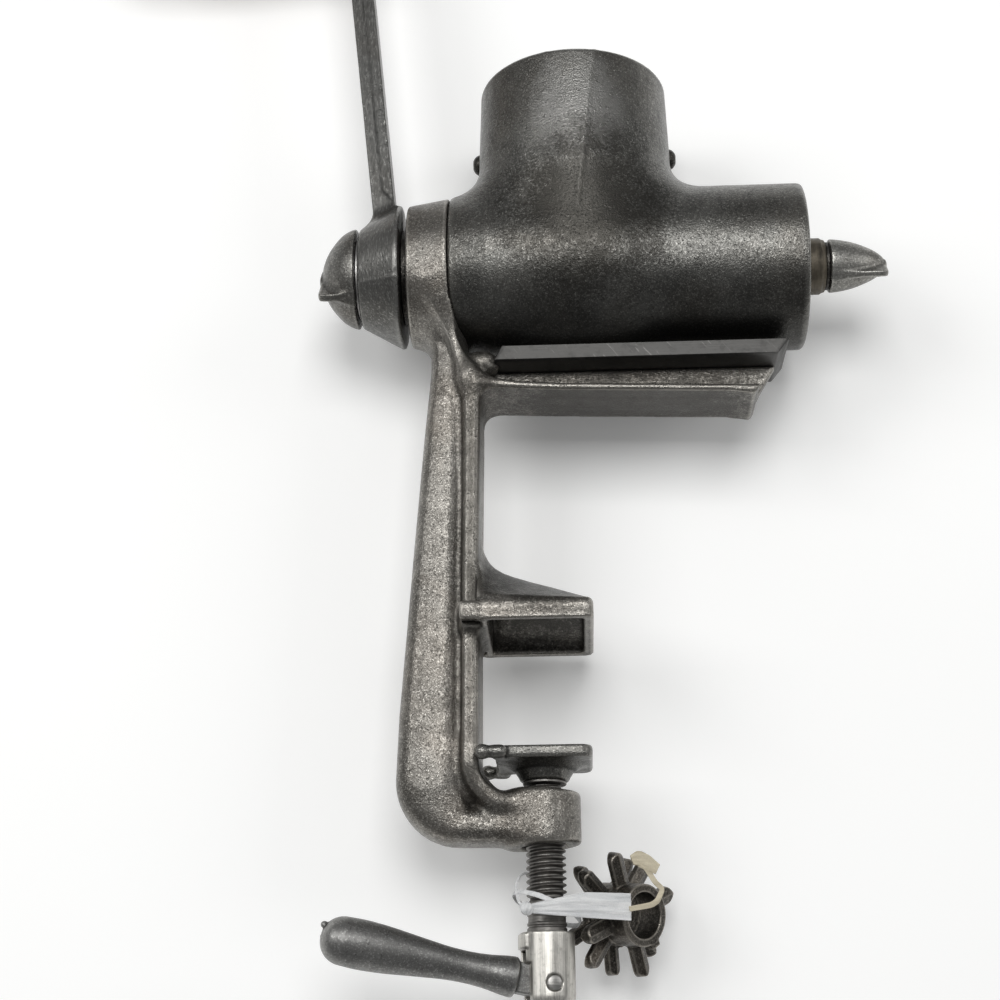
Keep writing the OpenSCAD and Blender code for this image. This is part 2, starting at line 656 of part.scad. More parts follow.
frame_stand();
upper_jaw();
hopper_barrel();
rear_bush();
front_bush();
feed_screw();
thrust_washer();
crank();
crank_washer();
crank_nut();
crank_grip();
grip_pin();
grip_washers();
front_washer();
front_wing_nut();
clamp_pad();
pad_washer();
clamp_screw();
clamp_sleeve();
sleeve_pin();
lever_handle();
cutter_coarse();
cutter_medium();
cutter_fine();
tie_strap();
tie_tag();
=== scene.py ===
"""Looks of an old clamp-on meat grinder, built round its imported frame.

Castings are skins of distance fields, turned pieces are profiles carried round an axis. Shapes are worked out in
millimetres, in the frame's own axes, and each mesh is written in metres.
"""
import json
import math

import bpy
import numpy as np
import openvdb
from mathutils import Matrix, Vector


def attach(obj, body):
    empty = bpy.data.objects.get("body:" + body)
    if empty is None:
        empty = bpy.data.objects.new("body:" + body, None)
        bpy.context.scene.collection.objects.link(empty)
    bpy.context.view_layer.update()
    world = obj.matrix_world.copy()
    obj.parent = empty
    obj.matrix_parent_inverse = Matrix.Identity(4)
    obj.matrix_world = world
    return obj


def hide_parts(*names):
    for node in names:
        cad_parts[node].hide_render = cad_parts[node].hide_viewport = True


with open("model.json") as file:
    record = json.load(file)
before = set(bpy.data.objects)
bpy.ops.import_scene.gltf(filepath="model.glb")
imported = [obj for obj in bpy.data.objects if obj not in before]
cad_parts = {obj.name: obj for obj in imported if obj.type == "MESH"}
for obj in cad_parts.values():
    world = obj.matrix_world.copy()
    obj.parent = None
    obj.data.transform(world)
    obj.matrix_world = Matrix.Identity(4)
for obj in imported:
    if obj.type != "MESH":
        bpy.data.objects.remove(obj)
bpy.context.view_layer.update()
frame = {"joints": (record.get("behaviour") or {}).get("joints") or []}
JOINTS = {joint["name"]: joint for joint in frame["joints"]}
MM = 1000.0


def joint_place(name):
    """Place of a joint in millimetres."""
    return [v * MM for v in JOINTS[name]["pos_m"]]


AXIS_Z = joint_place("crank_turn")[2]
GRIP_X, _, GRIP_Z = joint_place("grip_spin")
SCREW_X, _, PIVOT_Z = joint_place("lever_fold")
LEVER_AXIS = JOINTS["lever_fold"]["axis"]
SCREW_TURN = math.atan2(-LEVER_AXIS[0], LEVER_AXIS[1])

BARREL_R = 29.1
BARREL_REAR_R = 27.4
BARREL_BORE = 25.1
BARREL_X0 = -11.0
BARREL_X1 = 111.8
FLARE_L = 13.0
HOPPER_X = 33.2
HOPPER_TOP = 70.6
HOPPER_BORE = 30.8
RAIL_Z0 = AXIS_Z - 38.3
RAIL_Z1 = AXIS_Z - 32.6
COLLAR_X0 = -25.5
HUB_X0 = -43.0
HUB_X1 = -28.0
LEG_FACE_X = -1.6
JAW_W = 51.0
JAW_L = 37.2
BOSS_R = 11.4
BOSS_TOP = -51.5
BOSS_BOTTOM = -67.9
SCREW_R = 6.35
SCREW_PITCH = 2.1167
SLEEVE_R = 8.55
SLEEVE_TOP = -95.0
SLEEVE_BOTTOM = -119.1
PAD_TOP = -38.4
PAD_W = 31.7
SHAFT_R = 9.5
FLANGE_X = 119.7
NUT_FACE_X = FLANGE_X + 1.45
FIN_TURN = math.radians(48)


# Camera, fitted to the photograph

CAMERA_AT = (0.03031, -0.57449, -0.15264)
CAMERA_RIGHT = (0.99887, 0.04677, -0.00888)
CAMERA_UP = (0.02381, -0.32922, 0.94395)
CAMERA_FORWARD = (-0.04123, 0.94310, 0.32996)
FOCAL_PIXELS = 1800.0
PHOTO_PIXELS = 1000.0


def make_camera():
    lens = bpy.data.cameras.new("camera")
    lens.sensor_width = 36.0
    lens.lens = lens.sensor_width * FOCAL_PIXELS / PHOTO_PIXELS
    lens.clip_start = 0.02
    lens.clip_end = 20.0
    camera = bpy.data.objects.new("camera", lens)
    turn = Matrix((CAMERA_RIGHT, CAMERA_UP, [-v for v in CAMERA_FORWARD])).transposed()
    camera.matrix_world = Matrix.Translation(CAMERA_AT) @ turn.to_4x4()
    bpy.context.scene.collection.objects.link(camera)
    bpy.context.scene.camera = camera


# Distance fields: each takes arrays of places and gives the distance to a surface, negative inside

def joined(a, b, k):
    """Lesser of two distances, with a fillet about k wide where they meet."""
    h = np.maximum(k - np.abs(a - b), 0.0) / k
    return np.minimum(a, b) - h * h * k / 4


def common(a, b, k):
    """Greater of two distances, with the edge rounded over about k."""
    return -joined(-a, -b, k)


def carved(a, b, k):
    """What is left of a when b is taken out of it."""
    return common(a, -b, k)


def smooth_step(v, low, high):
    """Rises from 0 at low to 1 at high without a kink."""
    t = np.clip((v - low) / (high - low), 0.0, 1.0)
    return t * t * (3 - 2 * t)


def box_field(x, y, z, centre, half, r):
    """Box with edges of radius r: the distance to a smaller box, less r."""
    gaps = [np.abs(v - c) - h + r for v, c, h in zip((x, y, z), centre, half)]
    outside = np.sqrt(sum(np.maximum(g, 0.0) ** 2 for g in gaps))
    return outside + np.minimum(np.maximum(np.maximum(gaps[0], gaps[1]), gaps[2]), 0.0) - r


def rod_x(x, y, z, height, r, x0, x1, k):
    """Round rod along X with its axis at y = 0, and rounded ends."""
    return common(np.hypot(y, z - height) - r, np.maximum(x0 - x, x - x1), k)


def rod_z(x, y, z, cx, cy, r, z0, z1, k):
    """Round rod along Z with rounded ends."""
    return common(np.hypot(x - cx, y - cy) - r, np.maximum(z0 - z, z - z1), k)


def stretches(path):
    """Pairs of neighbouring rows of a path."""
    rows = [np.array(row, float) for row in path]
    return zip(rows[:-1], rows[1:])


def nearest(x, z, p, q):
    """Share along the line p-q of the nearest point in the X-Z plane, and the distance to it."""
    ex, ez = q[0] - p[0], q[1] - p[1]
    t = np.clip(((x - p[0]) * ex + (z - p[1]) * ez) / (ex * ex + ez * ez), 0.0, 1.0)
    return t, np.hypot(x - p[0] - t * ex, z - p[1] - t * ez)


def bar_field(x, y, z, path, power=2.3):
    """Bar of oval section: (gap / depth)^power + (|y| / half width)^power = 1, carried along a path in the X-Z plane.
    Rows of the path are x, z, half depth, half width."""
    best = None
    for p, q in stretches(path):
        t, gap = nearest(x, z, p, q)
        depth = p[2] + t * (q[2] - p[2])
        half = p[3] + t * (q[3] - p[3])
        d = (((gap / depth) ** power + (np.abs(y) / half) ** power) ** (1 / power) - 1) * np.minimum(depth, half)
        best = d if best is None else np.minimum(best, d)
    return best


def strip_field(x, y, z, path, round_share):
    """Strip standing across the X-Z plane along a path, with rounded edges. Rows are x, z, half width, thickness,
    and the edges' radius is a share of the half thickness."""
    best = None
    for p, q in stretches(path):
        t, gap = nearest(x, z, p, q)
        half = (p[3] + t * (q[3] - p[3])) / 2
        r = half * round_share
        across = gap - half + r
        along = np.abs(y) - (p[2] + t * (q[2] - p[2])) + r
        d = np.hypot(np.maximum(across, 0.0), np.maximum(along, 0.0)) + np.minimum(np.maximum(across, along), 0.0) - r
        best = d if best is None else np.minimum(best, d)
    return best


def outline_field(x, z, points):
    """Distance to a closed outline in the X-Z plane, negative inside it."""
    corners = [np.array(p, float) for p in points]
    best, inside = None, None
    for p, q in zip(corners, corners[1:] + corners[:1]):
        _, gap = nearest(x, z, p, q)
        above, below = z >= p[1], z < q[1]
        left = (q[0] - p[0]) * (z - p[1]) > (q[1] - p[1]) * (x - p[0])
        crossing = (above & below & left) | (~above & ~below & ~left)
        best = gap if best is None else np.minimum(best, gap)
        inside = crossing if inside is None else inside ^ crossing
    return np.where(inside, -best, best)


def arc(cx, cz, r, a0, a1, count=10):
    """Points of an arc in the X-Z plane, angles in degrees."""
    angles = np.radians(np.linspace(a0, a1, count))
    return list(zip(cx + r * np.cos(angles), cz + r * np.sin(angles)))


# Meshes

def make_mesh(name, points, faces, wear_and_painted_light=None, crease=None):
    """Closed mesh from points in millimetres and rows of corners, turned outwards if the space inside comes out
    negative. wear_and_painted_light is stored per point, for worn edges, painted edge highlights and painted shade
    in low places, and crease is the angle in degrees past which an edge stays sharp."""
    points = np.asarray(points, float)
    faces = [np.asarray(f, np.int32) for f in faces]
    space = 0.0
    for f in faces:
        for i in range(1, f.shape[1] - 1):
            a, b, c = points[f[:, 0]], points[f[:, i]], points[f[:, i + 1]]
            space += float((a * np.cross(b, c)).sum())
    if space < 0:
        faces = [f[:, ::-1] for f in faces]
    mesh = bpy.data.meshes.new(name)
    corners = np.concatenate([f.ravel() for f in faces])
    counts = np.concatenate([np.full(len(f), f.shape[1], np.int32) for f in faces])
    mesh.vertices.add(len(points))
    mesh.vertices.foreach_set("co", (points / MM).astype(np.float32).ravel())
    mesh.loops.add(len(corners))
    mesh.loops.foreach_set("vertex_index", corners)
    mesh.polygons.add(len(counts))
    mesh.polygons.foreach_set("loop_start", (np.cumsum(counts) - counts).astype(np.int32))
    mesh.polygons.foreach_set("use_smooth", np.ones(len(counts), bool))
    if wear_and_painted_light is not None:
        layer = mesh.attributes.new("wear_and_painted_light", "FLOAT", "POINT")
        layer.data.foreach_set("value", np.asarray(wear_and_painted_light, np.float32))
    mesh.update(calc_edges=True)
    mesh.validate()
    if crease:
        mesh.set_sharp_from_angle(angle=math.radians(crease))
    piece = bpy.data.objects.new(name, mesh)
    bpy.context.scene.collection.objects.link(piece)
    return piece


def slope(field, p, step):
    """Gradient of a field at rows of points, by differences."""
    x, y, z = p.T
    return np.stack([field(x + step, y, z) - field(x - step, y, z),
                     field(x, y + step, z) - field(x, y - step, z),
                     field(x, y, z + step) - field(x, y, z - step)], axis=1) / (2 * step)


def bending(field, p, reach):
    """How sharply a surface bends outwards: the field's mean over six neighbours less its own value, per reach."""
    x, y, z = p.T
    around = (field(x + reach, y, z) + field(x - reach, y, z) + field(x, y + reach, z)
              + field(x, y - reach, z) + field(x, y, z + reach) + field(x, y, z - reach))
    return (around - 6 * field(x, y, z)) / reach


def cast_piece(name, field, low, high, cell, reach=1.2, place=None):
    """Skin of the field's zero surface: quads on a grid of cells, then every point is moved down the field's slope
    until it lies on the surface."""
    low = np.array(low, float)
    counts = np.ceil((np.array(high, float) - low) / cell).astype(int) + 1
    x, y, z = [low[i] + cell * np.arange(counts[i]) for i in range(3)]
    values = np.broadcast_to(field(x[:, None, None], y[None, :, None], z[None, None, :]), counts)
    grid = openvdb.FloatGrid(3.0)
    grid.copyFromArray(np.ascontiguousarray(np.clip(values / cell, -3.0, 3.0), dtype=np.float32))
    points, quads = grid.convertToQuads(0.0)
    p = points.astype(float) * cell + low
    for _ in range(4):
        x, y, z = p.T
        g = slope(field, p, cell * 0.1)
        far = field(x, y, z) / np.maximum((g * g).sum(axis=1), 0.05)
        p = p - np.clip(far, -0.7 * cell, 0.7 * cell)[:, None] * g
    wear_and_painted_light = bending(field, p, reach)
    if place is not None:
        p = placed(p, place)
    return make_mesh(name, p, [quads], wear_and_painted_light)


def placed(points, place):
    """Points moved by a matrix in millimetres."""
    return points @ np.array(place.to_3x3()).T + np.array(place.translation)


def skin(name, grid, ring=True, loop=False, poles=(False, False), crease=None, wear_and_painted_light=None):
    """Surface of a grid of points (rows, columns, 3). Columns close into a ring, rows close into a loop where asked,
    and a pole draws the first or last row together into its middle point."""
    rows, cols = grid.shape[:2]
    index = np.arange(rows * cols).reshape(rows, cols)
    lower = index if loop else index[:-1]
    upper = np.roll(index, -1, axis=0) if loop else index[1:]
    if ring:
        corners = [lower, upper, np.roll(upper, -1, axis=1), np.roll(lower, -1, axis=1)]
    else:
        corners = [lower[:, :-1], upper[:, :-1], upper[:, 1:], lower[:, 1:]]
    faces = [np.stack([c.ravel() for c in corners], axis=1)]
    points = [grid.reshape(-1, 3)]
    total = rows * cols
    for end, row in ((0, index[0]), (1, index[-1])):
        if poles[end]:
            tip = np.full(cols, total)
            points.append(grid[0 if end == 0 else -1].mean(axis=0)[None])
            turned = np.roll(row, -1)
            faces.append(np.stack([tip, row, turned] if end == 0 else [tip, turned, row], axis=1))
            total += 1
    return make_mesh(name, np.concatenate(points), faces, wear_and_painted_light, crease)


def lathe_grid(profile, sides):
    """Profile of rows (radius, height) carried round the local Z axis."""
    angle = np.linspace(0.0, 2 * np.pi, sides, endpoint=False)
    return np.stack([profile[:, :1] * np.cos(angle), profile[:, :1] * np.sin(angle),
                     np.broadcast_to(profile[:, 1:], (len(profile), sides))], axis=2)


def turned(name, profile, place, sides=96, hollow=False, crease=35):
    """Turned piece: its profile runs from the foot's middle to the top's middle, or round a closed section where it
    is hollow."""
    rows = np.array(profile if hollow else profile[1:-1], float)
    grid = placed(lathe_grid(rows, sides), place)
    if hollow:
        return skin(name, grid, loop=True, crease=crease)
    return skin(name, grid, poles=(True, True), crease=crease)


def along_x(x, z, sign=1):
    """Place of a piece whose local Z axis lies along X, or along -X where sign is -1."""
    return Matrix.Translation((x, 0, z)) @ Matrix.Rotation(sign * math.pi / 2, 4, "Y")


def eased(points, r):
    """Corners of a profile, each replaced by two points r away from it."""
    points = [np.array(p, float) for p in points]
    out = [points[0]]
    for a, b, c in zip(points[:-2], points[1:-1], points[2:]):
        for other in (a, c):
            gap = other - b
            out.append(b + gap * min(0.45, r / max(np.hypot(*gap), 1e-6)))
    return out + [points[-1]]


def eased_loop(points, r):
    """The same round a closed section."""
    return eased([points[-1]] + list(points) + [points[0]], r)[1:-1]


# Finishes

class Wire:
    """An output socket that can be added to, multiplied and so on."""

    def __init__(self, finish, socket):
        self.finish = finish
        self.socket = socket

    def _with(self, operation, *values):
        return self.finish.node("ShaderNodeMath", {"operation": operation}, *values)

    def __add__(self, other):
        return self._with("ADD", self, other)

    def __sub__(self, other):
        return self._with("SUBTRACT", self, other)

    def __rsub__(self, other):
        return self._with("SUBTRACT", other, self)

    def __mul__(self, other):
        return self._with("MULTIPLY", self, other)

    def __pow__(self, other):
        return self._with("POWER", self, other)

    __radd__ = __add__
    __rmul__ = __mul__


class Finish:
    """A material with one principled shader, built from nodes."""

    def __init__(self, name, roughness=0.5, metallic=0.0, level=0.5):
        self.material = bpy.data.materials.new(name)
        self.material.use_nodes = True
        self.nodes = self.material.node_tree.nodes
        self.links = self.material.node_tree.links
        self.shader = self.nodes["Principled BSDF"]
        self.shader.inputs["Roughness"].default_value = roughness
        self.shader.inputs["Metallic"].default_value = metallic
        self.shader.inputs["Specular IOR Level"].default_value = level
        self.place = self.node("ShaderNodeTexCoord", {}, out="Object")

    def node(self, kind, settings, *values, out=0, **named):
        """Adds a node, sets it up, then gives its sockets their values or links."""
        made = self.nodes.new(kind)
        for key, value in settings.items():
            setattr(made, key, value)
        for key, value in list(enumerate(values)) + list(named.items()):
            socket = made.inputs[key]
            if isinstance(value, Wire):
                self.links.new(value.socket, socket)
            else:
                socket.default_value = value
        return Wire(self, made.outputs[out])

    def feed(self, name, wire):
        self.links.new(wire.socket, self.shader.inputs[name])

    def turned_place(self, stretch=(1, 1, 1), centre=(0, 0, 0), turn=(0, 0, 0)):
        return self.node("ShaderNodeMapping", {"vector_type": "TEXTURE"}, self.place, centre, turn,
                         tuple(1 / s for s in stretch))

    def noise(self, size, detail=3.0, rough=0.55, warp=0.0, place=None):
        """Noise whose lumps are about size millimetres across."""
        return self.node("ShaderNodeTexNoise", {}, place or self.place, Scale=MM / size, Detail=detail,
                         Roughness=rough, Distortion=warp)

    def axis(self, which):
        """Place along X, Y or Z in millimetres."""
        return self.node("ShaderNodeSeparateXYZ", {}, self.place, out="XYZ"[which]) * MM

    def span(self, value, low, high, to_low=0.0, to_high=1.0):
        """Value carried from one range to another, held at both ends."""
        return self.node("ShaderNodeMapRange", {"clamp": True}, value, low, high, to_low, to_high)

    def attribute(self, name):
        return self.node("ShaderNodeAttribute", {"attribute_name": name}, out="Fac")

    def blend(self, factor, first, second, how="MIX"):
        """Mix of two colours."""
        made = self.nodes.new("ShaderNodeMix")
        made.data_type = "RGBA"
        made.blend_type = how
        made.clamp_factor = True
        for socket, value in ((made.inputs[0], factor), (made.inputs[6], first), (made.inputs[7], second)):
            if isinstance(value, Wire):
                self.links.new(value.socket, socket)
            elif socket is made.inputs[0]:
                socket.default_value = value
            else:
                socket.default_value = (*value, 1.0)
        return Wire(self, made.outputs[2])

    def bump(self, height, depth):
        """Bump whose height of 1 is depth millimetres."""
        normal = self.node("ShaderNodeBump", {}, Height=height, Distance=depth / MM, Strength=1.0)
        self.feed("Normal", normal)
        return self.material


def old_iron(name, dark, light, brown, brown_share=0.5, shine=0.36, grain=1.0, metal=0.88, edge_rub_and_highlight=0.3, painted_shade_band=None,
             drawn=(1, 1, 1), painted_light_patches=()):
    """Worn tinned cast iron: grey with a fine bright speckle, faint brown stain, rubbed edges that also carry painted
    edge highlights, and dark hollows. Where painted_shade_band gives two heights in millimetres, it is painted
    near-black shade from the first down to the second. Each of the painted_light_patches is an oval of painted shade,
    or of painted highlight where its colour is light: its middle, its half sizes in millimetres, its share and its
    colour. The grain is drawn out along the axes whose share is under 1."""
    f = Finish(name, metallic=metal, level=0.35)
    wear_and_painted_light = f.attribute("wear_and_painted_light")
    cloud = f.noise(24, 3, 0.5, 0.3)
    along = f.turned_place(drawn)
    mottle = f.noise(4.5, 4, 0.55, 0.0, along)
    fine = f.noise(1.0, 3, 0.6, 0.0, along)
    speck = f.noise(0.5, 2, 0.5, 0.0, along)
    stain = f.noise(38, 3, 0.5, 0.8)
    tone = f.span(cloud * 0.3 + mottle * 0.2 + fine * 0.3 + speck * 0.2, 0.4, 0.62)
    colour = f.blend(tone, dark, light)
    colour = f.blend(f.span(stain, 0.45, 0.7) * brown_share, colour, f.blend(tone, [v * 0.5 for v in brown], brown))
    bright = [min(1.0, v * 2.0) for v in light]
    # convex edges: rubbed wear on the tin, and painted edge highlight
    rubbed_and_lit_edges = f.span(wear_and_painted_light + (mottle - 0.5) * 0.5, 0.16, 0.75)
    bare = f.span(speck * 0.6 + fine * 0.4, 0.56, 0.66)
    colour = f.blend(bare * 0.5, colour, bright)
    # painted light: each oval paints shade, or a highlight where its colour is light
    for middle, half, depth, tint in painted_light_patches:
        gap = sum(((f.axis(i) - middle[i]) * (1 / half[i])) ** 2.0 for i in range(3))
        ragged = gap + (mottle - 0.5) * 1.2 + (fine - 0.5) * 1.5 + (cloud - 0.5)
        colour = f.blend(f.span(ragged, 1.4, 0.4) * depth, colour, tint)
    # painted shade: near-black towards the bottom, from the first height down to the second
    if painted_shade_band:
        height = f.axis(2) + (cloud - 0.5) * 12
        colour = f.blend(f.span(height, *painted_shade_band) * 0.7, colour, [v * 0.35 for v in dark])
    # edges lightened: worn tin and painted edge highlight
    colour = f.blend(rubbed_and_lit_edges * edge_rub_and_highlight, colour, bright)
    sunk = f.span(wear_and_painted_light, -0.1, -0.7)
    colour = f.blend(sunk * 0.7, colour, [v * 0.4 for v in dark])
    pit = f.span(f.noise(0.9, 2, 0.5), 0.38, 0.30)
    colour = f.blend(pit * 0.5, colour, [v * 0.4 for v in dark])
    f.feed("Base Color", colour)
    rough = f.span(mottle * 0.5 + fine * 0.5, 0.35, 0.65, shine + 0.07, shine - 0.07)
    f.feed("Roughness", rough - rubbed_and_lit_edges * 0.06 + sunk * 0.15)
    relief = mottle * 0.5 + fine * 0.7 + speck * 0.45 - pit * 0.4
    return f.bump(relief, 0.15 * grain)


def machined(name, tint, streak_turn=(0, 0, 0), shine=0.3, grain=1.0):
    """Filed or ground iron with fine straight scratches."""
    f = Finish(name, metallic=0.85)
    lines = f.noise(0.5, 4, 0.7, 0.0, f.turned_place((0.03, 1, 1), turn=streak_turn))
    cloud = f.noise(9, 4, 0.6, 0.4)
    fine = f.noise(0.6, 3, 0.6)
    wear_and_painted_light = f.attribute("wear_and_painted_light")
    colour = f.blend(f.span(cloud * 0.5 + lines * 0.5, 0.35, 0.65), [v * 0.6 for v in tint], tint)
    colour = f.blend(f.span(wear_and_painted_light, 0.2, 0.8) * 0.6, colour, [min(1.0, v * 1.7) for v in tint])
    colour = f.blend(f.span(f.noise(3, 4, 0.6), 0.5, 0.7) * 0.5, colour, [v * 0.4 for v in tint])
    score = f.noise(0.7, 2, 0.5, 0.8, f.turned_place((0.08, 1, 1), turn=(0, 0.9, 0)))
    colour = f.blend(f.span(score, 0.66, 0.72) * 0.5, colour, [min(1.0, v * 2.0) for v in tint])
    f.feed("Base Color", colour)
    f.feed("Roughness", f.span(lines * 0.6 + cloud * 0.4, 0.3, 0.7, shine - 0.06, shine + 0.16))
    return f.bump(lines * 0.7 + fine * 0.4, 0.05 * grain)


def turned_steel(name, tint, stretch, shine=0.26, dirt=0.35):
    """Turned or brushed steel: tool marks drawn out along some axes, dull spots, and painted shade that darkens the low
    places.
    """
    f = Finish(name, metallic=0.95)
    marks = f.noise(0.35, 3, 0.6, 0.0, f.turned_place(stretch))
    cloud = f.noise(6, 5, 0.65, 0.5)
    spot = f.span(f.noise(1.6, 4, 0.7), 0.56, 0.72)
    wear_and_painted_light = f.attribute("wear_and_painted_light")
    colour = f.blend(f.span(cloud * 0.4 + marks * 0.6, 0.35, 0.65), [v * 0.5 for v in tint], tint)
    colour = f.blend(spot * dirt, colour, (0.10, 0.085, 0.07))
    # painted shade: the low places, such as the thread's grooves, go near-black
    colour = f.blend(f.span(wear_and_painted_light, -0.1, -0.7) * 0.8, colour, (0.035, 0.03, 0.026))
    f.feed("Base Color", colour)
    f.feed("Roughness", f.span(marks * 0.5 + cloud * 0.5, 0.3, 0.7, shine, shine + 0.22) + spot * 0.15)
    return f.bump(marks * 0.8 + f.noise(0.7, 3, 0.6) * 0.4, 0.04)


def old_bronze(name):
    """Browned bronze, dull with darker bands round it."""
    f = Finish(name, metallic=0.7)
    bands = f.noise(1.0, 4, 0.6, 0.2, f.turned_place((1, 0.08, 0.08)))
    cloud = f.noise(5, 4, 0.6, 0.5)
    colour = f.blend(f.span(cloud * 0.6 + bands * 0.4, 0.35, 0.65), (0.04, 0.034, 0.026), (0.15, 0.13, 0.098))
    f.feed("Base Color", colour)
    f.feed("Roughness", f.span(bands, 0.3, 0.7, 0.34, 0.55))
    return f.bump(bands * 0.7 + f.noise(0.6, 3, 0.6) * 0.5, 0.07)


def grip_wood(name):
    """Turned hardwood under worn oil: long grain along X and darker growth lines."""
    f = Finish(name)
    long = f.turned_place((0.06, 1, 1), centre=(0, 0, GRIP_Z / MM))
    grain = f.noise(1.1, 6, 0.7, 0.4, long)
    rings = f.node("ShaderNodeTexWave", {"wave_type": "RINGS", "rings_direction": "X"},
                   f.turned_place((0.25, 1, 1), centre=(0, 0.006, GRIP_Z / MM)), out="Fac", Scale=110.0,
                   Distortion=3.0, Detail=3.0)
    pores = f.span(f.noise(0.35, 2, 0.5, 0.0, long), 0.36, 0.28)
    cloud = f.noise(16, 3, 0.5)
    tone = f.span(grain * 0.5 + rings * 0.3 + cloud * 0.3, 0.3, 0.8)
    colour = f.blend(tone, (0.12, 0.055, 0.026), (0.36, 0.20, 0.10))
    colour = f.blend(pores * 0.7, colour, (0.05, 0.024, 0.012))
    f.feed("Base Color", colour)
    f.feed("Roughness", f.span(cloud * 0.5 + grain * 0.5, 0.3, 0.7, 0.32, 0.5))
    return f.bump(grain * 0.6 - pores * 0.8, 0.09)


def tie_cloth(name, tint, shade, crease_size, soft=0.65):
    """Woven tie: a small weave, soft lengthwise creases, and folds made slightly darker as painted shade."""
    f = Finish(name, roughness=soft, level=0.35)
    weave = f.noise(0.28, 2, 0.5)
    folds = f.noise(crease_size, 4, 0.6, 0.3, f.turned_place((0.12, 1, 1), turn=(0, 0, math.radians(22))))
    # painted shade: the folds go from the tint towards the shade colour
    colour = f.blend(f.span(folds * 0.7 + weave * 0.3, 0.3, 0.7), shade, tint)
    f.feed("Base Color", colour)
    f.feed("Roughness", f.span(folds, 0.3, 0.7, soft - 0.12, soft + 0.1))
    return f.bump(folds * 1.0 + weave * 0.25, 0.22)


def dress(piece, material, slot, body, *nodes):
    """Gives a piece its finish and says which nodes it stands for."""
    piece.data.materials.clear()
    piece.data.materials.append(material)
    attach(piece, body)
    if nodes:
        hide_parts(*nodes)
    return piece


# Stand

def bar_row(outer, inner, z, half):
    """Row of the leg's bar from its outer and inner edges."""
    return ((outer + inner) / 2 + 0.35, z, (inner - outer) / 2 + 0.35, half)


BEND_X, BEND_Z, BEND_R = -8.6, -47.6, 20.3
BEND_DEPTH = (11.2, 5.9)


def bend_row(share):
    """Row of the leg's bar round its lower bend: the outer edge is an arc, and the depth shrinks with the share's
    cube."""
    angle = math.radians(180 + 90 * share)
    depth = BEND_DEPTH[0] + (BEND_DEPTH[1] - BEND_DEPTH[0]) * share ** 3
    reach = BEND_R - depth
    return (BEND_X + reach * math.cos(angle), BEND_Z + reach * math.sin(angle), depth, 12 - 2.2 * share)


LEG_BAR = ([bar_row(-16.5, -7.5, 118, 9), bar_row(-18.0, -6.2, 104, 11), bar_row(-18.0, -6.2, 93, 11.5),
            bar_row(-20.0, -6.2, 72, 12), bar_row(-23.5, -7.0, 30, 12), bar_row(-28.0, -7.0, -27, 12)]
           + [bend_row(i / 12) for i in range(13)] + [(5, -62.2, 5.9, 9.6), (SCREW_X, -61.6, 6, 9)])
BEND_FILL = [(-9, -38, 4, 8.5), (-5.5, -48, 5, 8.5), (3, -56, 4, 8)]
LEG_STRIP = ([(-16.8, 121, 22.4, 1.6), (-14.6, 115, 20.4, 1.9), (-11, 105.5, 17.0, 2.2), (-8, 97.7, 15.2, 2.8),
              (-5.0, 91, 15, 4.6), (-3.6, 85, 15, 5.6), (-3.4, 74, 15, 5.6), (-3.7, 46, 15, 5.3), (-4.1, 20, 15, 5.3),
              (-4.4, -43.2, 15, 5.3)]
             + [(x, z, 15 - 4.5 * i / 27, 5.2) for i, (x, z) in enumerate(arc(7.3, -43.2, 11.7, 180, 272, 28))]
             + [(SCREW_X, -54.6, 9, 5.0)])
ARM_STRIP = [(-3.6, 88, 14.6, 4.6), (4, 86, 14, 3.2), (12, 85.2, 13.5, 2.6), (26.4, 84.3, 13.2, 2.4),
             (84, 82.3, 13.1, 2.3), (94, 81.4, 13.4, 3.6)]
WEB_OUTLINE = [(-14, 109), (-12.5, 104), (0.3, RAIL_Z0), (101.5, RAIL_Z0), (95, 83.8), (26, 85.9), (12, 86.9),
               (-4, 88)]
SPINE_X = [-1.6, 0.0, 1.6, 3.3, 6.2, 9.6, 15.5, 22.2, 28.0, 33.4, 36.0]
SPINE_Z = [33.2, 29.0, 26.2, 24.3, 22.4, 21.0, 19.0, 17.0, 15.1, 13.2, 12.4]


def jaw_field(x, y, z):
    """Jaw: an upside-down tray with a peaked roof that falls evenly from its spine to the rim, cored from below."""
    side = np.sqrt(y * y + 9.0) - 2.6
    peak = np.interp(x, SPINE_X, SPINE_Z)
    rim = 5.6
    fall = np.clip(1 - side / (JAW_W / 2), 0.0, 1.05)
    roof = rim + (peak - rim) * fall
    walls = box_field(x, y, z, (LEG_FACE_X + JAW_L / 2, 0, 20), (JAW_L / 2, JAW_W / 2, 40), 3.0)
    tent = common((z - roof) * 0.82, walls, 2.2)
    tent = common(tent, -z, 0.5)
    ear = box_field(x, y, z, (-2.6, 0, 3), (4.5, JAW_W / 2, 3.0), 1.2)
    tent = joined(tent, ear, 1.0)
    bead = np.hypot(np.abs(y) - JAW_W / 2 + 2.1, z - 3.9) - 2.1
    bead = common(bead, np.maximum(-6.5 - x, x - 33.8), 1.0)
    tent = joined(tent, bead, 1.2)
    core_roof = roof - 3.6
    core = common((z - core_roof) * 0.82, box_field(x, y, z, (17.0, 0, 0), (15.4, 22.3, 60), 1.5), 1.5)
    pocket = box_field(x, np.abs(y), z, (-3.6, 19.3, 0), (3.0, 3.0, 4.6), 0.8)
    return carved(carved(tent, core, 1.1), pocket, 0.8)


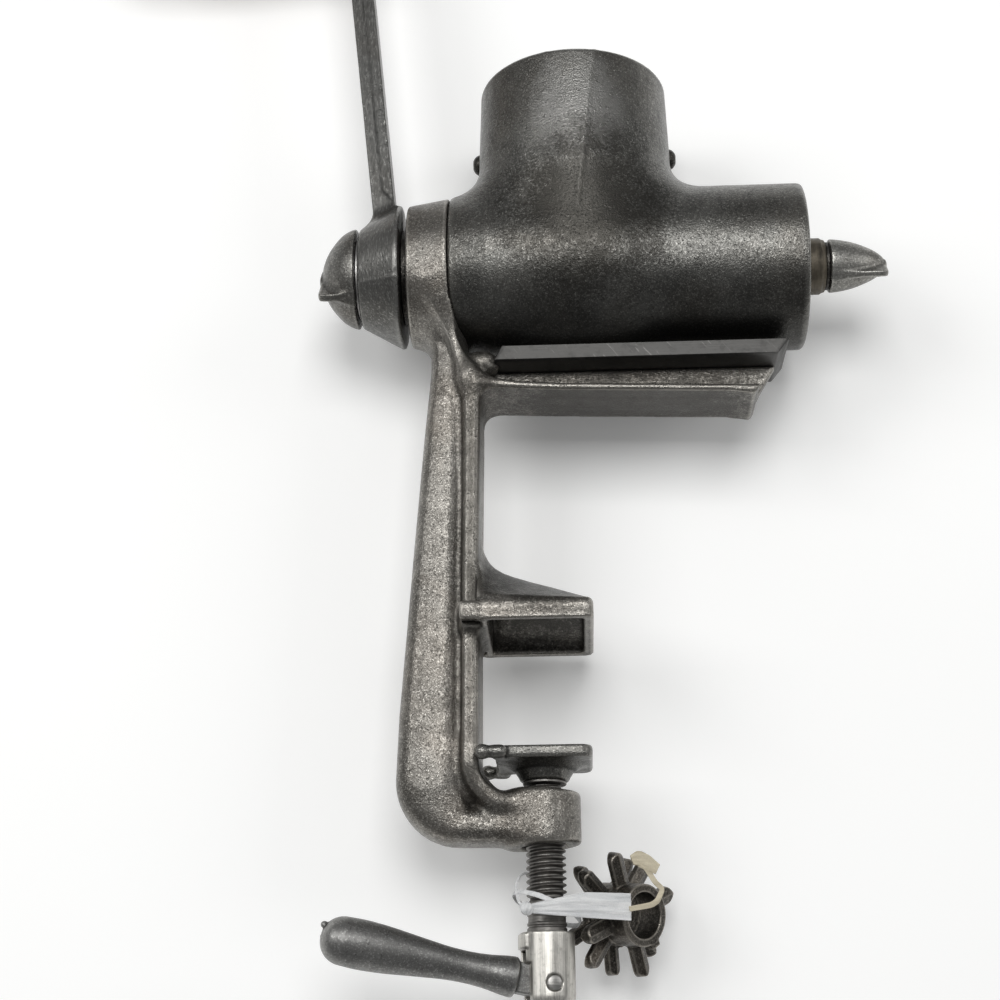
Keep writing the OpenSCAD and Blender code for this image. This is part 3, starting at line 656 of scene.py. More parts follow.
def stand_field(x, y, z):
    """Stand casting: oval bar, thin flange strips, web, collar, jaw and boss, filleted into each other."""
    body = bar_field(x, y, z, LEG_BAR, 3.0)
    body = joined(body, bar_field(x, y, z, BEND_FILL), 3.0)
    strips = joined(strip_field(x, y, z, LEG_STRIP, 0.75), strip_field(x, y, z, ARM_STRIP, 0.8), 7.5)
    web = common(outline_field(x, z, WEB_OUTLINE), np.abs(y) - 2.2, 1.0)
    strips = joined(strips, web, 4.0)
    body = joined(body, strips, 3.4)
    flare = 25.0 + 2.3 * (x - COLLAR_X0) / 14.5
    collar = common(np.hypot(y, z - AXIS_Z) - flare, np.maximum(COLLAR_X0 - x, x - BARREL_X0 + 0.1), 0.9)
    body = joined(body, collar, 8.0)
    boss = rod_z(x, y, z, SCREW_X, 0, BOSS_R, BOSS_BOTTOM, BOSS_TOP, 1.6)
    body = joined(body, boss, 5.0)
    body = joined(body, jaw_field(x, y, z), 3.0)
    lump_r = (np.sqrt(((x + 0.6) / 6.6) ** 2 + ((np.abs(y) - 6.5) / 5.0) ** 2 + ((z - 95.4) / 4.6) ** 2) - 1) * 4.6
    lump = lump_r - 0.18 * np.sin(x * 1.7) * np.sin(y * 1.5 + 1.0) * np.sin(z * 1.9)
    body = joined(body, lump, 2.6)
    slant = (x - 92.0) * 0.855 - (z - 80.0) * 0.518
    body = common(body, np.where(z > 60, slant, -9.0), 0.8)
    bore = np.hypot(x - SCREW_X, y) - SCREW_R - 0.06
    mouth = bore - np.clip(BOSS_BOTTOM + 1.6 - z, 0.0, 1.6)
    body = carved(body, common(mouth, z + 45.0, 0.3), 0.3)
    shaft = np.hypot(y, z - AXIS_Z)
    bore = common(shaft - 12.0, x + 10.0, 0.3)
    seat = common(shaft - 19.0, BARREL_X0 - 6.2 - x, 0.3)
    room = common(shaft - barrel_radius(x) - 0.05, BARREL_X0 - x, 0.2)
    return carved(body, np.minimum(np.minimum(bore, seat), room), 0.4)


# Hopper and barrel

LOFT_UP = [-36, -30, -25, -20, -15, -9, -2, 8, 18, 28, 46, 70.6]
LOFT_RX = [14, 21, 26, 28.8, 30.8, 32.2, 33.2, 33.9, 34.2, 34.4, 34.2, 33.4]
LOFT_RY = [4, 11, 16.7, 22.1, 26.1, 29.0, 30.7, 31.9, 33.0, 34.2, 34.3, 33.4]


def eased_steps(v, xs, ys):
    """Values read from a table of steps, with the bends between them eased."""
    return (np.interp(v - 2.5, xs, ys) + 2 * np.interp(v, xs, ys) + np.interp(v + 2.5, xs, ys)) / 4


def barrel_radius(x):
    """Outer radius of the barrel, which widens from its rear rim."""
    return BARREL_REAR_R + (BARREL_R - BARREL_REAR_R) * np.clip((x - BARREL_X0) / FLARE_L, 0.0, 1.0)


def barrel_field(x, y, z):
    """Hopper and barrel: a tube, and a round hopper that runs down over the tube's sides as a squarish tongue. The
    fillet between them is wide on top of the tube and narrower down its sides."""
    up = z - AXIS_Z
    shaft = np.hypot(y, up)
    tube = common(shaft - barrel_radius(x), np.maximum(BARREL_X0 - x, x - BARREL_X1), 2.0)
    rx, ry = eased_steps(up, LOFT_UP, LOFT_RX), eased_steps(up, LOFT_UP, LOFT_RY)
    power = 2.6 - 0.6 * smooth_step(up, -12.0, 16.0)
    around = (np.abs(x - HOPPER_X) / rx) ** power + (np.abs(y) / ry) ** power
    wide = (around ** (1 / power) - 1) * np.minimum(rx, ry)
    seam = np.exp(-((x - 36.0 - 0.12 * (up - 30)) / 1.0) ** 2) * smooth_step(up, -20.0, 10.0)
    flow = np.exp(-((x - 22.5 - 0.06 * (up - 50)) / 1.3) ** 2) * smooth_step(up, 22.0, 40.0)
    wide = wide - (0.22 * seam + 0.16 * flow) * (y < 0)
    hopper = common(common(wide, up - HOPPER_TOP, 1.0), -36.0 - up, 2.0)
    body = joined(tube, hopper, 7.5 + 5.5 * smooth_step(up, 6.0, 26.0))
    keel = box_field(x, y, z, (54.2, 0, RAIL_Z1 + 6), (46.2, 4.0, 6.6), 0.6)
    body = joined(body, keel, 3.0)
    spigot = rod_x(x, y, z, AXIS_Z, 18.9, BARREL_X0 - 6, BARREL_X0 + 2, 0.4)
    body = np.minimum(body, spigot)
    well = np.hypot(x - HOPPER_X, y) - HOPPER_BORE
    low_x, low_y = np.interp(up, [3, 35], [28.8, 30.6]), np.interp(up, [3, 35], [24.5, 30.6])
    throat = (np.sqrt(((x - HOPPER_X) / low_x) ** 2 + (y / low_y) ** 2) - 1) * 25
    well = common(np.where(up > 35, well, throat), -up, 1.0)
    bore = common(shaft - BARREL_BORE, BARREL_X0 + 5 - x, 1.0)
    hole = common(shaft - SHAFT_R - 0.06, x - 10, 0.2)
    body = carved(body, np.minimum(joined(well, bore, 3.0), hole), 1.1)
    hub = rod_x(x, y, z, AXIS_Z, 9.9, BARREL_X1 - 6.5, BARREL_X1 + 1.8, 0.8)
    spider = hub
    for degrees in (60, 180, 300):
        c, s = math.cos(math.radians(degrees)), math.sin(math.radians(degrees))
        out, side = y * s - up * c, y * c + up * s
        arm = np.maximum(np.abs(side) - 3.0, np.maximum(8 - out, out - BARREL_BORE - 1))
        arm = common(arm, np.abs(x - (BARREL_X1 - 3.5)) - 3.0, 1.0)
        spider = joined(spider, arm, 2.0)
    spider = carved(spider, shaft - 7.0, 0.4)
    return np.minimum(body, spider)


# Crank

LEAN = math.radians(5.8)
CRANK_REACH = GRIP_Z - AXIS_Z


def arm_x(up):
    """Middle of the crank arm at a height above the barrel's axis."""
    return -35.5 - (up - 30) * math.tan(LEAN)


def crank_field(x, y, z):
    """Crank: a cone hub with a faint casting seam, and a long arm that ends in an eye. On each side of the arm one
    half stands up and the other is a shallow channel between it and a thin rim."""
    up = z - AXIS_Z
    shaft = np.hypot(y, up)
    cone = 17.4 + (x - HUB_X0) * 7.7 / 13.8
    seam = 0.22 * np.exp(-((up + 9.6 + (x + 36) * 0.12) / 0.55) ** 2) * (y < 0)
    hub = common((shaft - np.minimum(cone, 25.1)) * 0.9, np.maximum(HUB_X0 - x, x - HUB_X1), 0.8) - seam
    share = np.clip(up / CRANK_REACH, 0.0, 1.0)
    half_y, half_x = 8.0 - 2.0 * share, 3.9 + 0.4 * share
    off = (x - arm_x(up)) * math.cos(LEAN)
    arm = common(np.abs(off) - half_x, np.abs(y) - half_y, 0.8)
    arm = common(arm, np.maximum(11.0 - up, up - CRANK_REACH), 0.5)
    channel = common(np.abs(off - 1.65) - 1.75, half_y - 0.32 - np.abs(y), 0.2)
    channel = common(channel, np.maximum(31.0 - off * 1.3 - up, up - CRANK_REACH + 15), 0.6)
    arm = carved(arm, channel, 0.3)
    eye = common(np.hypot(y, up - CRANK_REACH) - 9.5, np.abs(x - arm_x(CRANK_REACH)) - 5.0, 1.4)
    body = joined(joined(hub, arm, 4.5), eye, 4.0)
    body = carved(body, np.maximum(shaft - 17.6, x - HUB_X0), 0.4)
    socket = np.maximum(np.maximum(np.abs(y), np.abs(up)) - 5.55, x - HUB_X1 + 2.0)
    relief = np.maximum(shaft - SHAFT_R - 0.05, HUB_X1 - 3 - x)
    pin = np.hypot(y, up - CRANK_REACH) - 3.3
    return carved(body, np.minimum(np.minimum(socket, relief), pin), 0.4)


# Nose nuts

NOSE_SHARE = [0, 0.12, 0.25, 0.4, 0.53, 0.67, 0.79, 0.9, 0.97, 1.0]
NOSE_R = [1, 0.98, 0.94, 0.87, 0.78, 0.66, 0.54, 0.38, 0.24, 0.12]


def nose_field(x, y, z, length, r, fin, bore_r, bore_l):
    """Nose nut along +X from x = 0: a blunt round nose, and a thin blade across it that stands out on both sides of
    the tip. The blade's corner is full on the -Y side and rounded off on the other."""
    share = np.clip(x / length, 0.0, 1.0)
    nose = r * (np.interp(share - 0.03, NOSE_SHARE, NOSE_R) + np.interp(share + 0.03, NOSE_SHARE, NOSE_R)) / 2
    shaft = np.hypot(y, z)
    body = common((shaft - nose) * 0.75, np.maximum(-x, x - length), 0.8)
    full = np.interp(share, [0, 0.4, 0.8, 0.93, 1.0], [0.9, 0.93, 0.93, 0.91, 0.86])
    worn = np.interp(share, [0, 0.5, 0.68, 0.8, 0.9, 1.0], [0.9, 0.84, 0.76, 0.68, 0.52, 0.3])
    blade = common(np.abs(y) - r * np.where(y < 0, full, worn), np.abs(z) - fin / 2, 0.6)
    blade = common(blade, np.maximum(0.5 - x, x - length), 0.8)
    body = joined(body, blade, r * 0.14)
    hole = np.maximum(shaft - bore_r, x - bore_l)
    return carved(body, hole, 0.3)


def nut_place(x, sign):
    """Place of a nose nut: its nose along X or -X, and its wings turned towards the lower near side."""
    facing = Matrix.Rotation(0.0 if sign > 0 else math.pi, 4, "Y")
    return Matrix.Translation((x, 0, AXIS_Z)) @ Matrix.Rotation(FIN_TURN, 4, "X") @ facing


# Clamp

def pad_field(x, y, z):
    """Pad: a square plate with round corners, a coned hub below and a fork of two fingers round the leg's flange."""
    x = x - SCREW_X
    up = z - PAD_TOP
    half = PAD_W / 2
    plate = box_field(x, y, up, (0, 0, -2), (half, half, 2.0), 1.4)
    corner = np.hypot(np.maximum(np.abs(x) - half + 5, 0), np.maximum(np.abs(y) - half + 5, 0)) - 5
    plate = common(plate, corner, 1.2)
    cone = np.interp(up, [-9.4, -8.2, -6.0, -4.0], [7.7, 8.2, 9.6, 12.6])
    hub = common(np.hypot(x, y) - cone, np.maximum(-9.4 - up, up + 1), 0.8)
    body = joined(plate, hub, 2.5)
    side = np.abs(y) - 17.9
    start, end = -0.4 - SCREW_X, 5.1 - SCREW_X
    run = np.clip(x, start, end)
    finger = np.sqrt((x - run) ** 2 + side ** 2 + (up + 2.7) ** 2) - 1.9
    knob = np.sqrt((x - start) ** 2 + side ** 2 + (up + 2.7) ** 2) - 2.4
    neck = box_field(x, np.abs(y), up, (end - 0.4, 15.6, -2.7), (2.2, 3.2, 1.6), 1.2)
    body = joined(joined(body, joined(finger, knob, 0.8), 2.0), neck, 1.6)
    body = common(body, up, 0.5)
    seat = np.maximum(np.hypot(x, y) - 6.2, -2.0 - up)
    hole = np.hypot(x, y) - 4.06
    return carved(body, np.minimum(seat, hole), 0.4)


def screw_radius(height, angle):
    """Radius of the clamp screw: a Whitworth thread climbing with the angle, rings turned in the neck below it."""
    top = PAD_TOP - 10.5
    end = -85.0
    phase = np.mod(height / SCREW_PITCH - angle / (2 * np.pi), 1.0)
    crest = np.abs(phase - 0.5) * 2
    thread = SCREW_R - 1.15 * smooth_step(1 - crest, 0.12, 0.88)
    ease_in = smooth_step(height, end, end + 1.4) * smooth_step(-height, -top, -top + 1.2)
    thread = (SCREW_R - 1.15) * (1 - ease_in) + thread * ease_in
    rings = np.interp(height, NECK_Z, NECK_R)
    spigot = np.interp(height, [top - 0.2, top + 0.2], [0.0, 1.0])
    body = np.where(height > end, thread, rings)
    return body * (1 - spigot) + 4.0 * spigot


NECK_Z = [-95.0, -93.8, -93.5, -93.1, -92.8, -92.3, -92.0, -90.2, -89.8, -89.2, -85.6, -85.0]
NECK_R = [6.3, 6.3, 5.85, 5.85, 6.3, 6.3, 5.95, 5.9, 6.3, 5.85, 5.8, 5.2]


def make_screw():
    """Clamp screw: screw_radius carried up the axis, with a riveted head in the pad and a tenon in the sleeve."""
    heights = np.concatenate([np.linspace(-95.0, -85.0, 60), np.arange(-84.88, PAD_TOP - 10.4, 0.12)])
    angle = np.linspace(0, 2 * np.pi, 72, endpoint=False)
    r = screw_radius(heights[:, None], angle[None, :])
    ends = [(5.0, -102.5), (5.0, -95.05)]
    head = [(4.0, PAD_TOP - 1.95), (5.9, PAD_TOP - 1.9), (6.0, PAD_TOP - 0.7), (5.6, PAD_TOP - 0.3)]
    columns = [np.full((1, 72), q) for q, _ in ends] + [r] + [np.full((1, 72), q) for q, _ in head]
    radius = np.concatenate(columns)
    height = np.concatenate([[h for _, h in ends], heights, [h for _, h in head]])
    grid = np.stack([SCREW_X + radius * np.cos(angle), radius * np.sin(angle),
                     np.broadcast_to(height[:, None], radius.shape)], axis=2)
    # groove depth, which the thread finish darkens into painted shade in the grooves
    depth = np.clip((radius - (SCREW_R - 0.6)) * 1.2, -0.7, 0.6).ravel()
    wear_and_painted_light = np.concatenate([depth, [0, 0]])
    return skin("clamp_screw_threaded", grid[:, ::-1], poles=(True, True), crease=50, wear_and_painted_light=wear_and_painted_light)


def sleeve_field(x, y, z):
    """Sleeve in its own frame: a turned barrel, slotted from below and to the left, with a ledge beside its shoulder."""
    r = np.hypot(x, y)
    foot = SLEEVE_R - 5 * (1 - np.sqrt(np.clip(1 - ((SLEEVE_BOTTOM + 5 - z) / 5.2) ** 2, 0.0, 1.0))) * (z < SLEEVE_BOTTOM + 5)
    body = common(r - foot, np.maximum(SLEEVE_BOTTOM - z, z - SLEEVE_TOP), 0.7)
    ledge = box_field(x, y, z, (-7.2, 0, SLEEVE_TOP - 2.8), (2.2, 4.5, 2.2), 0.5)
    body = joined(body, common(ledge, r - 9.2, 0.4), 0.6)
    slot = np.maximum(np.maximum(np.abs(y) - 3.2, x - 6.4), z + 100.5)
    flat = np.maximum(x + 6.6, z - SLEEVE_TOP + 9.4)
    pin = np.hypot(x, z - PIVOT_Z) - 2.52
    tenon = np.maximum(r - 5.03, -102.6 - z)
    return carved(body, np.minimum(np.minimum(slot, flat), np.minimum(pin, tenon)), 0.5)


LEVER_PATH = [(10.0, 6.3), (14.0, 6.1), (19.0, 5.2), (26.0, 4.75), (33.0, 5.0), (42.0, 6.0), (52.0, 7.15),
              (60.0, 7.6), (65.6, 7.3)]


def lever_field(x, y, z):
    """Lever in its own frame, along +Z from the pivot: a round handle, thick at its end, with a flat tongue."""
    r = np.interp(z, [s for s, _ in LEVER_PATH], [q for _, q in LEVER_PATH])
    r = (np.interp(z - 2, *zip(*LEVER_PATH)) + np.interp(z + 2, *zip(*LEVER_PATH)) + r) / 3
    shaft = np.hypot(x, y)
    end = np.sqrt(np.maximum(1 - (np.clip(z - 65.2, 0, 7.0) / 7.05) ** 2, 0.0))
    handle = common(shaft - r * end, np.maximum(10.6 - z, z - 72.35), 1.0)
    nib = np.sqrt((x - 3.6) ** 2 + y ** 2 + (z - 71.8) ** 2) - 1.1
    handle = joined(handle, nib, 1.0)
    tongue = box_field(x, y, z, (0, 0, 6.0), (4.6, 3.0, 7.0), 0.4)
    eye = common(np.hypot(x, z) - 5.6, np.abs(y) - 3.0, 0.5)
    body = joined(joined(handle, tongue, 0.8), eye, 0.4)
    return carved(body, np.hypot(x, z) - 2.56, 0.3)


# Cutters

def cutter_field(prongs, width, start, ring_h, reach):
    """Cutter in its own frame: a star of round-ended prongs at the foot, ridged along their middles, and a hub ring
    with a drive lug."""
    def field(x, y, z):
        r = np.hypot(x, y)
        body = common(r - 9.8, np.abs(z - ring_h / 2) - ring_h / 2, 0.5)
        c, s = math.cos(math.radians(35)), math.sin(math.radians(35))
        lug = box_field(x * c + y * s, y * c - x * s, z, (9.9, 0, ring_h - 1.5), (1.6, 1.8, 1.5), 0.6)
        body = joined(body, lug, 0.6)
        for i in range(prongs):
            a = math.radians(start + i * 360 / prongs)
            along, side = x * math.cos(a) + y * math.sin(a), y * math.cos(a) - x * math.sin(a)
            run = np.clip(along, 7.8, reach - width / 2)
            bar = np.hypot(along - run, side) - width / 2
            ridge = (np.abs(z - 2.1) - 2.15 + 0.42 * np.abs(side)) * 0.92
            bar = common(bar + 0.12 * (z - 2.1), ridge, 0.35)
            body = joined(body, bar, 1.0)
        return carved(body, r - 7.2, 0.5)
    return field


BUNDLE = (Matrix.Translation((41.1, 15, -87.9)) @ Matrix.Rotation(math.radians(-45), 4, "Z")
          @ Matrix.Rotation(math.radians(97), 4, "Y"))


def make_cutter(name, along, *shape):
    place = BUNDLE @ Matrix.Translation((0, 0, along))
    return cast_piece(name, cutter_field(*shape), (-21.5, -21.5, -1), (21.5, 21.5, 10.6), 0.33, 0.5, place)


# Tie

TIE_Z = -87.6
TIE_TILT = math.radians(25)
TIE_TURN = Matrix.Translation((SCREW_X, 0, TIE_Z)) @ Matrix.Rotation(math.radians(22), 4, "Z")


def ribbon(name, path, place, thick=0.26, waves=0.12, folds=0.0):
    """Band that faces -Y: rows of its path are x, y, z, half width. Its section, a flat oval whose broad faces carry
    lengthwise folds, is held across the path in the X-Z plane, and the path's corners are eased."""
    rows = np.array(path, float)
    at = np.linspace(0, len(rows) - 1, 120)
    run = np.stack([np.interp(at, np.arange(len(rows)), rows[:, i]) for i in range(4)], axis=1)
    for _ in range(30):
        run[1:-1] = (run[:-2] + 2 * run[1:-1] + run[2:]) / 4
    step = np.gradient(run[:, [0, 2]], axis=0)
    step = step / np.hypot(step[:, 0], step[:, 1])[:, None]
    turn = np.linspace(0, 2 * np.pi, 64, endpoint=False)
    wide = np.sign(np.cos(turn)) * np.abs(np.cos(turn)) ** 0.7
    flat = np.sign(np.sin(turn)) * np.abs(np.sin(turn)) ** 0.7
    s = np.linspace(0, 1, 120)[:, None]
    x = run[:, :1] - step[:, 1:] * run[:, 3:] * wide
    z = run[:, 2:3] + step[:, :1] * run[:, 3:] * wide
    crease = np.sin(9 * wide + 2 * s) + 0.6 * np.sin(17 * wide - 3 * s + 1)
    y = run[:, 1:2] + thick * flat + waves * np.sin(7 * s + 2.5 * wide) + folds * crease * (1 - wide ** 8)
    return skin(name, placed(np.stack([x, y, z], axis=2), place), poles=(True, True))


def make_strap():
    """Tie: a slanting loop of crumpled band round the screw, a knot at its left, a loose strand, and one long flat
    end that crosses in front of the screw and widens."""
    angle = np.linspace(math.radians(-90), math.radians(270), 121)[:-1]
    around = np.linspace(0, 2 * np.pi, 20, endpoint=False)
    crumple = 0.12 * np.sin(5 * angle) + 0.1 * np.sin(11 * angle + 1)
    radius = 11.25 + 0.3 * np.cos(around)[None, :] + crumple[:, None] * 0.6
    height = (0.8 + 0.25 * crumple[:, None]) * np.sin(around)[None, :]
    loop = np.stack([radius * np.cos(angle)[:, None], radius * np.sin(angle)[:, None],
                     np.broadcast_to(height, radius.shape)], axis=2)
    loop = placed(loop, TIE_TURN @ Matrix.Rotation(TIE_TILT, 4, "Y"))
    loop_piece = skin("tie_loop", loop[:, ::-1], loop=True)
    u, v = np.linspace(0, np.pi, 33)[1:-1], np.linspace(0, 2 * np.pi, 48, endpoint=False)
    lump = 1.95 + 0.2 * np.sin(3 * v)[None, :] * np.sin(2 * u)[:, None] + 0.14 * np.sin(7 * v + 2 * u[:, None])
    knot = np.stack([lump * np.sin(u)[:, None] * np.cos(v) - 11.4, lump * np.sin(u)[:, None] * np.sin(v) - 12.4,
                     lump * np.cos(u)[:, None] - 1.6], axis=2)
    knot_piece = skin("tie_knot", placed(knot, TIE_TURN), poles=(True, True))
    band_piece = ribbon("tie_band", [(-11.2, -12, -1.7, 1.2), (-6, -12, -1.2, 2.0), (8, -12, 0.1, 3.9),
                                     (23.4, -12, -0.1, 4.2)], TIE_TURN, 0.28, 0.06, 0.13)
    strand = ribbon("tie_strand", [(-6.4, -12.4, -89.0, 0.4), (-8.4, -9.5, -86.6, 0.45), (-9.4, -5.5, -83.2, 0.45),
                                   (-9.3, -2.6, -79.8, 0.45), (-8.3, 0, -77.2, 0.4), (-6.8, 4, -75.9, 0.4),
                                   (-2.6, 8, -76.4, 0.4)], Matrix.Translation((SCREW_X, 0, 0)), 0.22)
    return loop_piece, knot_piece, band_piece, strand


def make_tag():
    """Cloth tape: a folded tab, and a thin tail that bends back on to the band."""
    tab = ribbon("tape_tab", [(23.9, -12.8, 14.2, 1.6), (26.2, -12.8, 14.9, 2.4), (29, -12.8, 13.8, 2.5),
                              (32.6, -12.8, 11.7, 1.8)], TIE_TURN, 0.34, 0.2, 0.05)
    tail = ribbon("tape_tail", [(28.6, -12.8, 12.2, 1.0), (31.6, -12.8, 7.6, 0.9), (34.1, -12.8, 5.7, 0.8),
                                (32.2, -12.8, 1.9, 0.9), (30, -12.8, 0.6, 0.9), (22.6, -12.8, -0.8, 0.8)], TIE_TURN, 0.22,
                  0.1)
    return tab, tail


# Turned and small pieces

def ring_profile(r_in, r_out, length, r=0.15):
    """Closed section of a plain ring, from its foot at 0."""
    return eased_loop([(r_in, 0), (r_out, 0), (r_out, length), (r_in, length)], r)


GRIP_L = 88.0
GRIP_RECESS_R = 7.0


def grip_outline(count=140):
    """Half section of the grip along its length: shoulder, waist, belly and domed end, as far as the rim of the
    recess in its end."""
    t = np.linspace(0, 1, count)
    belly = 0.5 - 0.5 * np.cos(2 * np.pi * np.clip((t - 0.12) / 1.04, 0, 1))
    dome = np.sqrt(np.maximum(0.02, 1 - np.clip((t - 0.86) / 0.14, 0, 1) ** 2))
    rows = np.stack([(9.4 + 2.4 * belly) * dome, GRIP_L * t], axis=1)
    return [tuple(row) for row in rows[rows[:, 0] > GRIP_RECESS_R + 0.1]]


def make_feed_screw():
    """Feed screw: a tapering core with one helical blade, whose foot and crest are eased."""
    x0, x1 = BARREL_X0 + 5.5, BARREL_X1 - 6.6
    length = x1 - x0 - 2
    s = np.linspace(0, 1, 300)
    angle = np.linspace(0, 2 * np.pi, 96, endpoint=False)
    core = 9.5 + 2.5 * s[:, None]
    lead = np.mod(angle[None, :] + np.radians(1170) * s[:, None], 2 * np.pi)
    lead = np.minimum(lead, 2 * np.pi - lead)
    blade = smooth_step(0.42 - lead, 0.0, 0.22)
    radius = core + (BARREL_BORE - 0.6 - core) * blade
    grid = np.stack([np.broadcast_to((x0 + 2 + length * s)[:, None], radius.shape), radius * np.cos(angle),
                     AXIS_Z + radius * np.sin(angle)], axis=2)
    return skin("feed_screw_blade", grid, poles=(True, True), crease=60)


def sleeve_place():
    """Frame of the sleeve: the screw's axis, turned to where the lever stands."""
    return Matrix.Translation((SCREW_X, 0, 0)) @ Matrix.Rotation(SCREW_TURN, 4, "Z")


def lever_place():
    """Frame of the lever: its pivot, with Z along the handle."""
    rise = math.radians(-90 + 11)
    return sleeve_place() @ Matrix.Translation((0, 0, PIVOT_Z)) @ Matrix.Rotation(rise, 4, "Y")


def make_castings():
    iron = old_iron("old_tinned_iron", (0.07, 0.069, 0.064), (0.18, 0.176, 0.164), (0.13, 0.116, 0.097), shine=0.34)
    arm_iron = old_iron("drawn_tinned_iron", (0.09, 0.09, 0.085), (0.17, 0.168, 0.16), (0.12, 0.112, 0.1),
                        grain=0.6, drawn=(1, 1, 0.22))
    nut_iron = old_iron("rubbed_tinned_iron", (0.13, 0.128, 0.12), (0.3, 0.295, 0.275), (0.2, 0.184, 0.16))
    # painted light on hopper and barrel: painted shade down the barrel's lower side, a light oval of rubbed tin and
    # painted highlight on the hopper's middle, and a dark oval of painted shade over the neck
    barrel_iron = old_iron("tinned_iron_painted_light", (0.06, 0.059, 0.055), (0.175, 0.172, 0.16), (0.125, 0.111, 0.092),
                           shine=0.33, painted_shade_band=(AXIS_Z - 10, AXIS_Z - 27),
                           painted_light_patches=[((HOPPER_X + 1, -30, AXIS_Z + 46), (15, 60, 24), 0.7, (0.32, 0.315, 0.3)),
                                    ((HOPPER_X + 4, -30, AXIS_Z + 12), (26, 60, 30), 0.9, (0.036, 0.034, 0.03))])
    # painted shade: dark ovals under the arm's flange, in the jaw's hollow and along the leg's flange beside the crease
    leg_iron = old_iron("browned_iron_painted_shade", (0.1, 0.094, 0.084), (0.26, 0.248, 0.226), (0.2, 0.175, 0.148), 0.7, edge_rub_and_highlight=0.32,
                        painted_light_patches=[((52, 0, 83), (58, 40, 12), 0.9, (0.045, 0.042, 0.037)),
                                 ((17, 0, 13), (24, 34, 20), 0.85, (0.05, 0.048, 0.044)),
                                 ((-2, -14, 20), (5, 9, 80), 0.75, (0.07, 0.066, 0.058))])
    dark = old_iron("dark_iron", (0.016, 0.015, 0.014), (0.075, 0.071, 0.064), (0.05, 0.042, 0.034), 0.4, 0.4, edge_rub_and_highlight=0.8)
    cutter_iron = old_iron("cutter_iron", (0.035, 0.032, 0.028), (0.13, 0.12, 0.105), (0.1, 0.08, 0.06), 0.6, 0.36,
                           edge_rub_and_highlight=0.8)
    polished = old_iron("satin_iron", (0.14, 0.139, 0.134), (0.22, 0.218, 0.21), (0.17, 0.165, 0.154), 0.2, 0.42, 0.45)
    ground = machined("ground_iron", (0.1, 0.098, 0.094), shine=0.42)
    stand = cast_piece("stand_casting", stand_field, (-31, -28, -71), (102, 28, 162), 0.9)
    dress(stand, leg_iron, "tinned_iron", "stand", "frame_stand", "upper_jaw")
    barrel = cast_piece("hopper_and_barrel", barrel_field, (-18, -36, 98), (115, 36, 204), 0.85)
    dress(barrel, barrel_iron, "tinned_iron", "stand", "hopper_barrel")
    for sign, name in ((-1, "left_lug"), (1, "right_lug")):
        height = np.linspace(-3.1, 3.1, 21)
        bulge = 3.8 * np.sqrt(np.maximum(1 - (height / 3.1) ** 2, 0.0))
        lug = turned(name, list(zip(bulge, height)), Matrix.Translation((0, 4, 46.6))
                     @ along_x(HOPPER_X + sign * 33.9, AXIS_Z), 48)
        # the lugs take the near-black iron as painted shade, for the shade under the hopper's overhang
        dress(lug, dark, "tinned_iron", "stand")
    dress(make_rail(), ground, "tinned_iron", "stand")
    crank = cast_piece("crank_and_arm", crank_field, (-56, -26, 106), (-27, 26, 303), 0.7)
    dress(crank, arm_iron, "tinned_iron", "rotor", "crank")
    rear = cast_piece("rear_nose_nut", lambda x, y, z: nose_field(x, y, z, 12.9, 17.8, 2.7, 4.06, 8.5),
                      (-1, -19, -19), (14, 19, 19), 0.42, 0.8, nut_place(HUB_X0 - 1.1, -1))
    dress(rear, iron, "tinned_iron", "crank_nut", "crank_nut")
    front = cast_piece("front_nose_nut", lambda x, y, z: nose_field(x, y, z, 20.0, 9.4, 2.3, 3.26, 11),
                       (-1, -11, -11), (22, 11, 11), 0.32, 0.7, nut_place(NUT_FACE_X, 1))
    dress(front, nut_iron, "tinned_iron", "front_nut", "front_wing_nut")
    pad = cast_piece("pad_and_fork", pad_field, (-8, -22, -50), (36, 22, -37), 0.45, 0.8)
    dress(pad, iron, "tinned_iron", "pad", "clamp_pad")
    lever = cast_piece("folding_lever", lever_field, (-10, -10, -7), (10, 10, 74), 0.45, 1.0, lever_place())
    dress(lever, polished, "dark_iron", "lever", "lever_handle")
    for name, node, along, shape in (("coarse_cutter", "cutter_coarse", 2.6, (4, 6.0, 24, 9.4, 20.4)),
                                     ("medium_cutter", "cutter_medium", -2.0, (4, 5.6, 56, 4.55, 20.4)),
                                     ("fine_cutter", "cutter_fine", -6.6, (5, 5.0, 12, 4.55, 19.6))):
        dress(make_cutter(name, along, *shape), cutter_iron, "dark_iron", "cutters", node)
    screw = make_feed_screw()
    dress(screw, iron, "tinned_iron", "rotor", "feed_screw")
    back = BARREL_X0 + 5.5
    shaft = turned("feed_screw_shaft", eased([(0, HUB_X0 - 9), (4, HUB_X0 - 9), (4, HUB_X0 + 0.5),
                                              (5.4, HUB_X0 + 0.5), (5.4, HUB_X1 - 0.2), (SHAFT_R, HUB_X1 - 0.2),
                                              (SHAFT_R, back), (20, back), (20, back + 3), (9, back + 3.6),
                                              (0, back + 3.6)], 0.4), along_x(0, AXIS_Z))
    dress(shaft, iron, "tinned_iron", "rotor")
    stud = turned("feed_screw_stud", eased([(0, 104), (5.5, 104), (5.5, FLANGE_X + 0.4), (3.2, FLANGE_X + 0.4),
                                            (3.2, FLANGE_X + 12), (0, FLANGE_X + 12)], 0.4), along_x(0, AXIS_Z))
    dress(stud, ground, "tinned_iron", "rotor")
    thrust = turned("thrust_ring", ring_profile(SHAFT_R + 0.1, 17, 2.4, 0.4), along_x(HUB_X1 + 0.05, AXIS_Z),
                    hollow=True)
    dress(thrust, dark, "dark_iron", "rotor", "thrust_washer")
    washer = turned("front_ring", ring_profile(5.6, 8.4, 1.3, 0.25), along_x(FLANGE_X + 0.05, AXIS_Z), hollow=True)
    dress(washer, dark, "dark_iron", "rotor", "front_washer")


